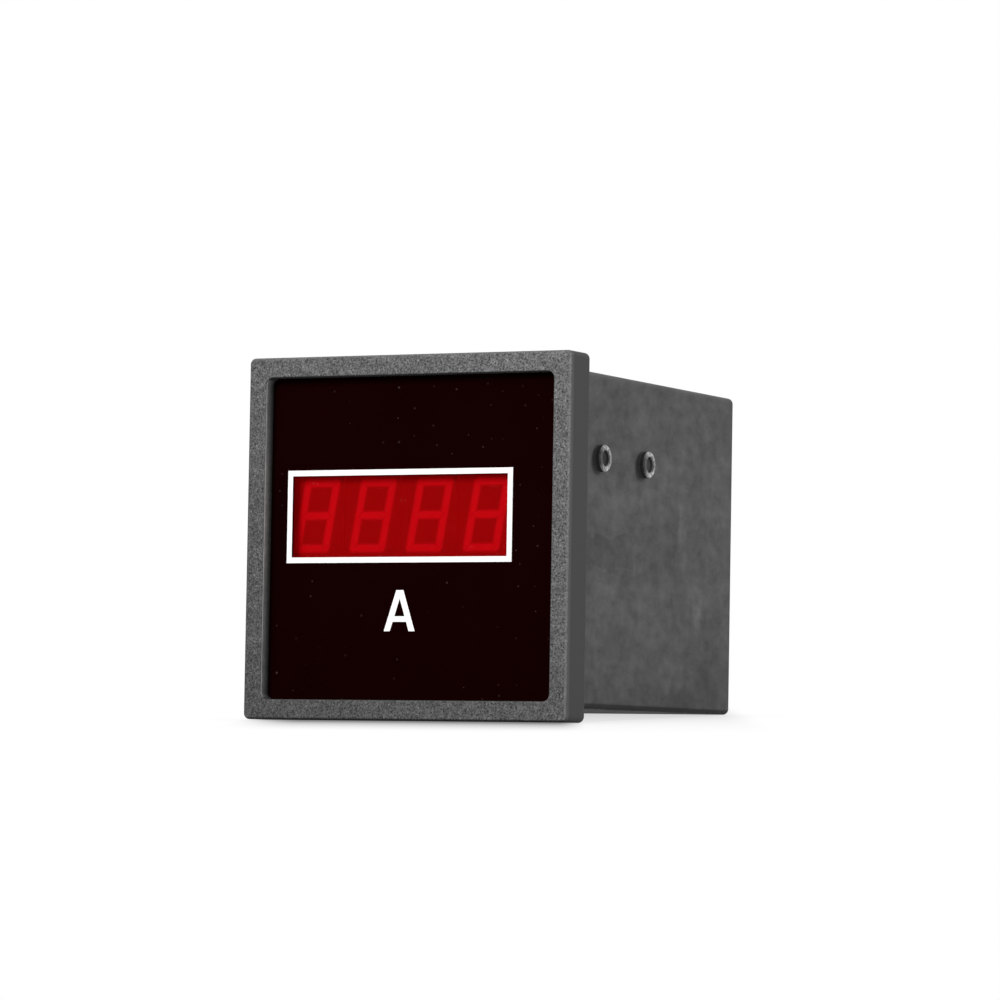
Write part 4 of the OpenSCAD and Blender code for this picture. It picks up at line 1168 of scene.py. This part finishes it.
@shared(
    "Thread", "GeometryNodeTree",
    Geometry=None, Radius=0.0015, Relief=0.00004, Pitch=0.0005, Length=0.007, Material=None,
)
def thread(t, given):
    """Ridge that winds up a shank along Z."""
    inputs = {
        "Resolution": 24,
        "Rotations": given["Length"] / given["Pitch"],
        "Start Radius": given["Radius"],
        "End Radius": given["Radius"],
        "Height": given["Length"],
    }
    path = t.add("GeometryNodeCurveSpiral", inputs)
    return close_tree(t, swept(t, path, 3, given["Relief"]), given["Material"])


class METER_OT_threads(bpy.types.Operator):
    """Winds a thread on each terminal screw"""

    bl_idname = "meter.threads"
    bl_label = "Thread terminal screws"

    def execute(self, context):
        size = context.scene.meter_hardware
        values = {
            "Radius": SCREW_RADIUS * MM,
            "Relief": size.thread_relief,
            "Pitch": size.thread_pitch,
            "Length": THREAD_LENGTH * MM,
        }
        along = Matrix.Rotation(math.radians(-90), 4, "X")
        for i in POLES:
            centre = middle(f"clamp_screw_{i}")
            start = box_mm(f"clamp_screw_{i}")[0].y + THREAD_START
            lay = Matrix.Translation((centre.x * MM, start * MM, centre.z * MM)) @ along
            zinc = metal(f"thread_zinc_{i}", (0.7, 0.69, 0.65), 0.25)
            base = bpy.data.meshes.new("thread_start")
            name, body = f"screw_thread_{i}", f"screw_{i}"
            grow(name, "thread", base, values, zinc, body, lay)
        return {"FINISHED"}


@shared(
    "Solder joints", "GeometryNodeTree",
    Geometry=None, Radius=0.0008, Height=0.0007, Leg=0.0003, Turn=None, Material=None,
)
def solder_joints(t, given):
    """Solder fillet with a clipped leg on each point, standing along Z."""
    inputs = {
        "Vertices": 14,
        "Side Segments": 3,
        "Radius Top": given["Leg"],
        "Radius Bottom": given["Radius"],
        "Depth": given["Height"],
    }
    fillet = t.add("GeometryNodeMeshCone", inputs)
    inputs = {"Vertices": 10, "Radius": given["Leg"], "Depth": given["Height"] * 1.4}
    leg = t.add("GeometryNodeMeshCylinder", inputs)
    both = t.node("GeometryNodeJoinGeometry")
    for shape in (fillet, leg):
        t.feed(both.inputs[0], shape)
    joint = Value(t, both.outputs[0])
    inputs = {"Points": given["Geometry"], "Instance": joint, "Rotation": given["Turn"]}
    return close_tree(t, t.add("GeometryNodeInstanceOnPoints", inputs), given["Material"])


def feet(names, axis, level):
    """Where the legs of parts meet a board: corners that lie close together at that level."""
    tolerance, reach = 0.02, 1.1
    groups = []
    for name in names:
        for vertex in part(name).data.vertices:
            p = vertex.co / MM
            if abs(p[axis] - level) > tolerance:
                continue
            key = tuple(round(c, 2) for c in p)
            for group in groups:
                if (Vector(group[0]) - p).length < reach:
                    if key not in group:
                        group.append(key)
                    break
            else:
                groups.append([key])
    return [sum((Vector(k) for k in g), Vector()) / len(g) for g in groups if len(g) > 3]


class METER_OT_solder(bpy.types.Operator):
    """Solders the parts' legs on the far side of each board"""

    bl_idname = "meter.solder"
    bl_label = "Solder boards"

    def execute(self, context):
        size = context.scene.meter_hardware
        tin = metal("solder_tin", (0.66, 0.66, 0.65), 0.22, (2.0, 2.0, 2.0), 0.1)
        level = MAIN_LO.z - size.joint_height / MM / 2 + SUNK
        places = [(x, y, level) for x, y in self.main_legs()]
        self.solder("main_board_solder", places, (math.pi, 0, 0), tin, size)
        behind = feet(CHIPS, 1, DISPLAY_LO.y)
        level = DISPLAY_HI.y + size.joint_height / MM / 2 - SUNK
        places = [(p.x, level, p.z) for p in behind if not MAIN_LO.z - 1 < p.z < MAIN_HI.z + 1]
        self.solder("display_board_solder", places, (-math.pi / 2, 0, 0), tin, size)
        return {"FINISHED"}

    def main_legs(self):
        """Where legs go through the main board, across and back."""
        standing = ("board_header", "resistors", "bridge_rectifier", "voltage_regulator")
        legs = [(p.x, p.y) for p in feet(standing, 2, MAIN_HI.z)]
        for name in CANS:
            at = middle(name)
            legs += [(at.x, at.y + side * CAN_LEG) for side in (-1, 1)]
        lo, hi = box_mm("current_link")
        legs += [((lo.x + hi.x) / 2, y) for y in (lo.y + LINK_END, hi.y - LINK_END)]
        lo, hi = box_mm("film_capacitors")
        for i in range(FILM_COUNT):
            y = lo.y + FILM_FIRST + FILM_PITCH * i
            legs += [((lo.x + hi.x) / 2 + side * FILM_LEG, y) for side in (-1, 1)]
        return legs

    def solder(self, name, places, turn, tin, size):
        if not places:
            raise RuntimeError(name + " found no legs")
        base = bpy.data.meshes.new(name + "_points")
        base.from_pydata([Vector(p) * MM for p in places], [], [])
        values = {
            "Radius": size.joint_radius,
            "Height": size.joint_height,
            "Leg": LEG_RADIUS * MM,
            "Turn": turn,
        }
        grow(name, "solder_joints", base, values, tin, "housing")


@shared("Wire", "GeometryNodeTree", Geometry=None, Radius=0.00015, Sides=8, Material=None)
def wire(t, given):
    """Round wire along a curve."""
    drawn_out = swept(t, given["Geometry"], given["Sides"], given["Radius"])
    return close_tree(t, drawn_out, given["Material"])


class METER_OT_winding(bpy.types.Operator):
    """Winds the transformer's bare outer turns above its tape"""

    bl_idname = "meter.winding"
    bl_label = "Wind transformer"

    def execute(self, context):
        size = context.scene.meter_hardware
        lo, hi = box_mm("transformer_winding")
        loop = self.loop(lo, hi)
        top = hi.z - WINDING_TOP
        bottom = top - size.turn_pitch / MM * size.turn_count
        total = len(loop) * size.turn_count
        curve = bpy.data.curves.new("winding_path", "CURVE")
        curve.dimensions = "3D"
        spline = curve.splines.new("POLY")
        spline.points.add(total)
        for i in range(total + 1):
            x, y = loop[i % len(loop)]
            z = bottom + (top - bottom) * i / total
            spline.points[i].co = (x * MM, y * MM, z * MM, 1)
        enamel = metal("wire_enamel", (0.62, 0.24, 0.09), 0.24, (3.0, 3.0, 0.5), 0.06)
        values = {"Radius": 0.45 * size.turn_pitch, "Sides": 6}
        grow("winding_turns", "wire", curve, values, enamel, "housing")
        return {"FINISHED"}

    def loop(self, lo, hi):
        """Points round the winding's outside, seen from above."""
        points = []
        for sx, sy, turn in ((1, 1, 0), (-1, 1, 90), (-1, -1, 180), (1, -1, 270)):
            cx = (hi.x if sx > 0 else lo.x) - sx * WINDING_CORNER
            cy = (hi.y if sy > 0 else lo.y) - sy * WINDING_CORNER
            for step in range(7):
                at = math.radians(turn + 15 * step)
                x, y = WINDING_CORNER * math.cos(at), WINDING_CORNER * math.sin(at)
                points.append((cx + x, cy + y))
        return points


# Stage ----------------------------------------------------------------------------------


def camera_turn(azimuth, rise, roll):
    """Rotation of a camera that looks along +Y at azimuth 0 and along -X at a right angle."""
    level = Matrix.Rotation(azimuth, 4, "Z") @ Matrix.Rotation(math.radians(90) + rise, 4, "X")
    return level @ Matrix.Rotation(roll, 4, "Z")


def area_lamp(name, place, aim, side, watts):
    """Square lamp that is aimed at a point; places and sides are in metres."""
    lamp = bpy.data.lights.new(name, "AREA")
    lamp.shape = "RECTANGLE"
    lamp.size = lamp.size_y = side
    lamp.energy = watts
    holder = placed(name, lamp)
    holder.location = place
    holder.rotation_euler = (Vector(aim) - Vector(place)).to_track_quat("-Z", "Y").to_euler()


class METER_OT_stage(bpy.types.Operator):
    """Adds the camera, the pale floor, the world and the lamps"""

    bl_idname = "meter.stage"
    bl_label = "Build stage"

    def execute(self, context):
        stage = context.scene.meter_stage
        scene = context.scene
        scene.view_settings.view_transform = "Standard"
        lens = bpy.data.cameras.new("camera")
        lens.lens = stage.lens
        lens.sensor_width = 36.0
        lens.clip_start = 0.05
        lens.clip_end = 50.0
        camera = placed("camera", lens)
        place = Matrix.Translation(stage.camera_place)
        camera.matrix_world = place @ camera_turn(stage.azimuth, stage.rise, stage.roll)
        scene.camera = camera
        self.floor(stage)
        self.world(scene, stage)
        area_lamp("key_lamp", (-0.22, -0.95, 0.45), (0, 0, 0), 0.4, stage.key_level)
        area_lamp("side_lamp", (0.75, 0.5, 0.4), (0.03, 0.03, 0), 0.25, stage.side_level)
        return {"FINISHED"}

    def floor(self, stage):
        """The meter leans back on its bezel's lower edge and the case's rear edge."""
        # The case's rear edge is rounded, so it touches the floor a little higher up
        front, rear = BEZEL_LO.z, CASE_LO.z + REAR_ROUND
        slope = (rear - front) / CASE_HI.y
        ends = (-FLOOR_REACH, FLOOR_REACH)
        places = [(ends[i], ends[j]) for i, j in ((0, 0), (1, 0), (1, 1), (0, 1))]
        corners = [Vector((x, y, front + slope * y - FLOOR_GAP)) * MM for x, y in places]
        mesh = bpy.data.meshes.new("floor")
        mesh.from_pydata(corners, [], [(0, 1, 2, 3)])
        floor = placed("floor", mesh)
        mesh.materials.append(self.floor_material(stage))

    def floor_material(self, stage):
        """White where the camera sees it, with a soft shadow where the meter covers the sky."""
        made, t = new_material("floor_white")
        open_sky = t.add("ShaderNodeAmbientOcclusion", {"Distance": 0.03}, "AO", samples=16)
        contact = t.step(open_sky, 0.97, 0.1) * stage.contact_depth
        # The long shadow is painted by place on the floor: it is cut as narrow as the meter at both
        # sides, and it fades towards the front: from the bezel's foot, and from far behind the gap
        # under the case.
        # All distances are in metres.
        place = t.add("ShaderNodeTexCoord", output="Object")
        turned = t.add("ShaderNodeMapping", {"Vector": place, "Rotation": (0, 0, -stage.azimuth)})
        across, along, _ = t.apart(turned)
        foot = self.beyond(t, place, (BEZEL_LO.x, BEZEL_LO.y), (BEZEL_HI.x, 0.0))
        left = self.sideways(stage, BEZEL_LO.x, BEZEL_LO.y)
        corner = self.sideways(stage, BEZEL_HI.x, BEZEL_LO.y)
        right = self.sideways(stage, CASE_HI.x, CASE_HI.y)
        beside = t.step(across, corner + 0.005, corner - 0.002)
        under_bezel = self.fading(t, foot, 0.065, 0.0) * beside
        # Behind the meter, where the camera sees it only through that gap, it ends softly
        behind = t.step(along, 0.26, 0.13) * t.step(across, 0.0, corner)
        under_case = t.least(self.fading(t, along, -0.11, 0.176), 0.64) * behind
        from_left = t.step(across, left - 0.003, left + 0.012)
        inside = from_left * t.step(across, right + 0.003, right - 0.006)
        shade = t.most(under_bezel, under_case) * inside * stage.shadow_depth + contact
        level = t.span(shade, 1.0, 0.0)
        white = t.add("ShaderNodeEmission", {"Color": (1.0, 1.0, 1.0), "Strength": level})
        pale = t.add("ShaderNodeBsdfDiffuse", {"Color": (0.4, 0.4, 0.4)})
        lit = t.add("ShaderNodeMixShader", {0: self.seen(t), 1: pale, 2: white})
        below = t.add("ShaderNodeNewGeometry", output="Backfacing")
        clear = t.add("ShaderNodeBsdfTransparent")
        shown = t.add("ShaderNodeMixShader", {0: below, 1: lit, 2: clear})
        t.node("ShaderNodeOutputMaterial", {"Surface": shown})
        return made

    def beyond(self, t, place, low, high):
        """Distance on the floor, in metres, from an upright box, given in millimetres."""
        outside = []
        for value, start, end in zip(t.apart(place), low, high):
            beside = abs(value - (start + end) / 2 * MM) - (end - start) / 2 * MM
            outside.append(t.most(beside, 0.0))
        return t.size(t.joined(*outside, 0.0))

    def fading(self, t, value, clear, dark):
        """1 where value is at dark, falling off to 0 at clear."""
        return t.span(value, 0.0, 1.0, clear, dark) ** 1.8

    def sideways(self, stage, x, y):
        """How far to the right a point lies, across the camera's direction, in metres."""
        return (x * math.cos(stage.azimuth) + y * math.sin(stage.azimuth)) * MM

    def seen(self, t):
        """1 for rays from the camera, and for what metal and glass show."""
        path = t.named(t.node("ShaderNodeLightPath"))
        return t.most(path["Is Camera Ray"], path["Is Glossy Ray"], path["Is Transmission Ray"])

    def world(self, scene, stage):
        world = bpy.data.worlds.new("studio")
        world.use_nodes = True
        world.node_tree.nodes.clear()
        scene.world = world
        t = Tree(world.node_tree)
        level = t.span(self.seen(t), stage.world_level, 1.0)
        light = t.add("ShaderNodeBackground", {"Color": (1.0, 1.0, 1.0), "Strength": level})
        t.node("ShaderNodeOutputWorld", {"Surface": light})


# Panel and registration -----------------------------------------------------------------

STEPS = (
    METER_OT_bezel,
    METER_OT_case,
    METER_OT_dial,
    METER_OT_letter,
    METER_OT_display,
    METER_OT_boards,
    METER_OT_parts,
    METER_OT_transformer,
    METER_OT_sensor,
    METER_OT_terminals,
    METER_OT_threads,
    METER_OT_solder,
    METER_OT_winding,
    METER_OT_stage,
)

SETTINGS = {
    "meter_finish": MeterFinish,
    "meter_display": MeterDisplay,
    "meter_letter": MeterLetter,
    "meter_hardware": MeterHardware,
    "meter_stage": MeterStage,
}


class METER_PT_panel(bpy.types.Panel):
    """Lists the steps that dress the meter"""

    bl_idname = "METER_PT_panel"
    bl_label = "Panel meter"
    bl_space_type = "VIEW_3D"
    bl_region_type = "UI"
    bl_category = "Panel meter"

    def draw(self, context):
        for step in STEPS:
            self.layout.operator(step.bl_idname)
        for name, group in SETTINGS.items():
            column = self.layout.column(heading=group.__doc__)
            for key in group.__annotations__:
                column.prop(getattr(context.scene, name), key)


def register():
    for made in (*SETTINGS.values(), *STEPS, METER_PT_panel):
        bpy.utils.register_class(made)
    for name, group in SETTINGS.items():
        setattr(bpy.types.Scene, name, PointerProperty(type=group))


def unregister():
    for name in SETTINGS:
        delattr(bpy.types.Scene, name)
    for made in reversed((*SETTINGS.values(), *STEPS, METER_PT_panel)):
        bpy.utils.unregister_class(made)


def main():
    register()
    bpy.ops.meter.bezel()
    bpy.ops.meter.case()
    bpy.ops.meter.dial()
    bpy.ops.meter.letter()
    bpy.ops.meter.display()
    bpy.ops.meter.boards()
    bpy.ops.meter.parts()
    bpy.ops.meter.transformer()
    bpy.ops.meter.sensor()
    bpy.ops.meter.terminals()
    bpy.ops.meter.threads()
    bpy.ops.meter.solder()
    bpy.ops.meter.winding()
    bpy.ops.meter.stage()


if __name__ == "__main__":
    main()
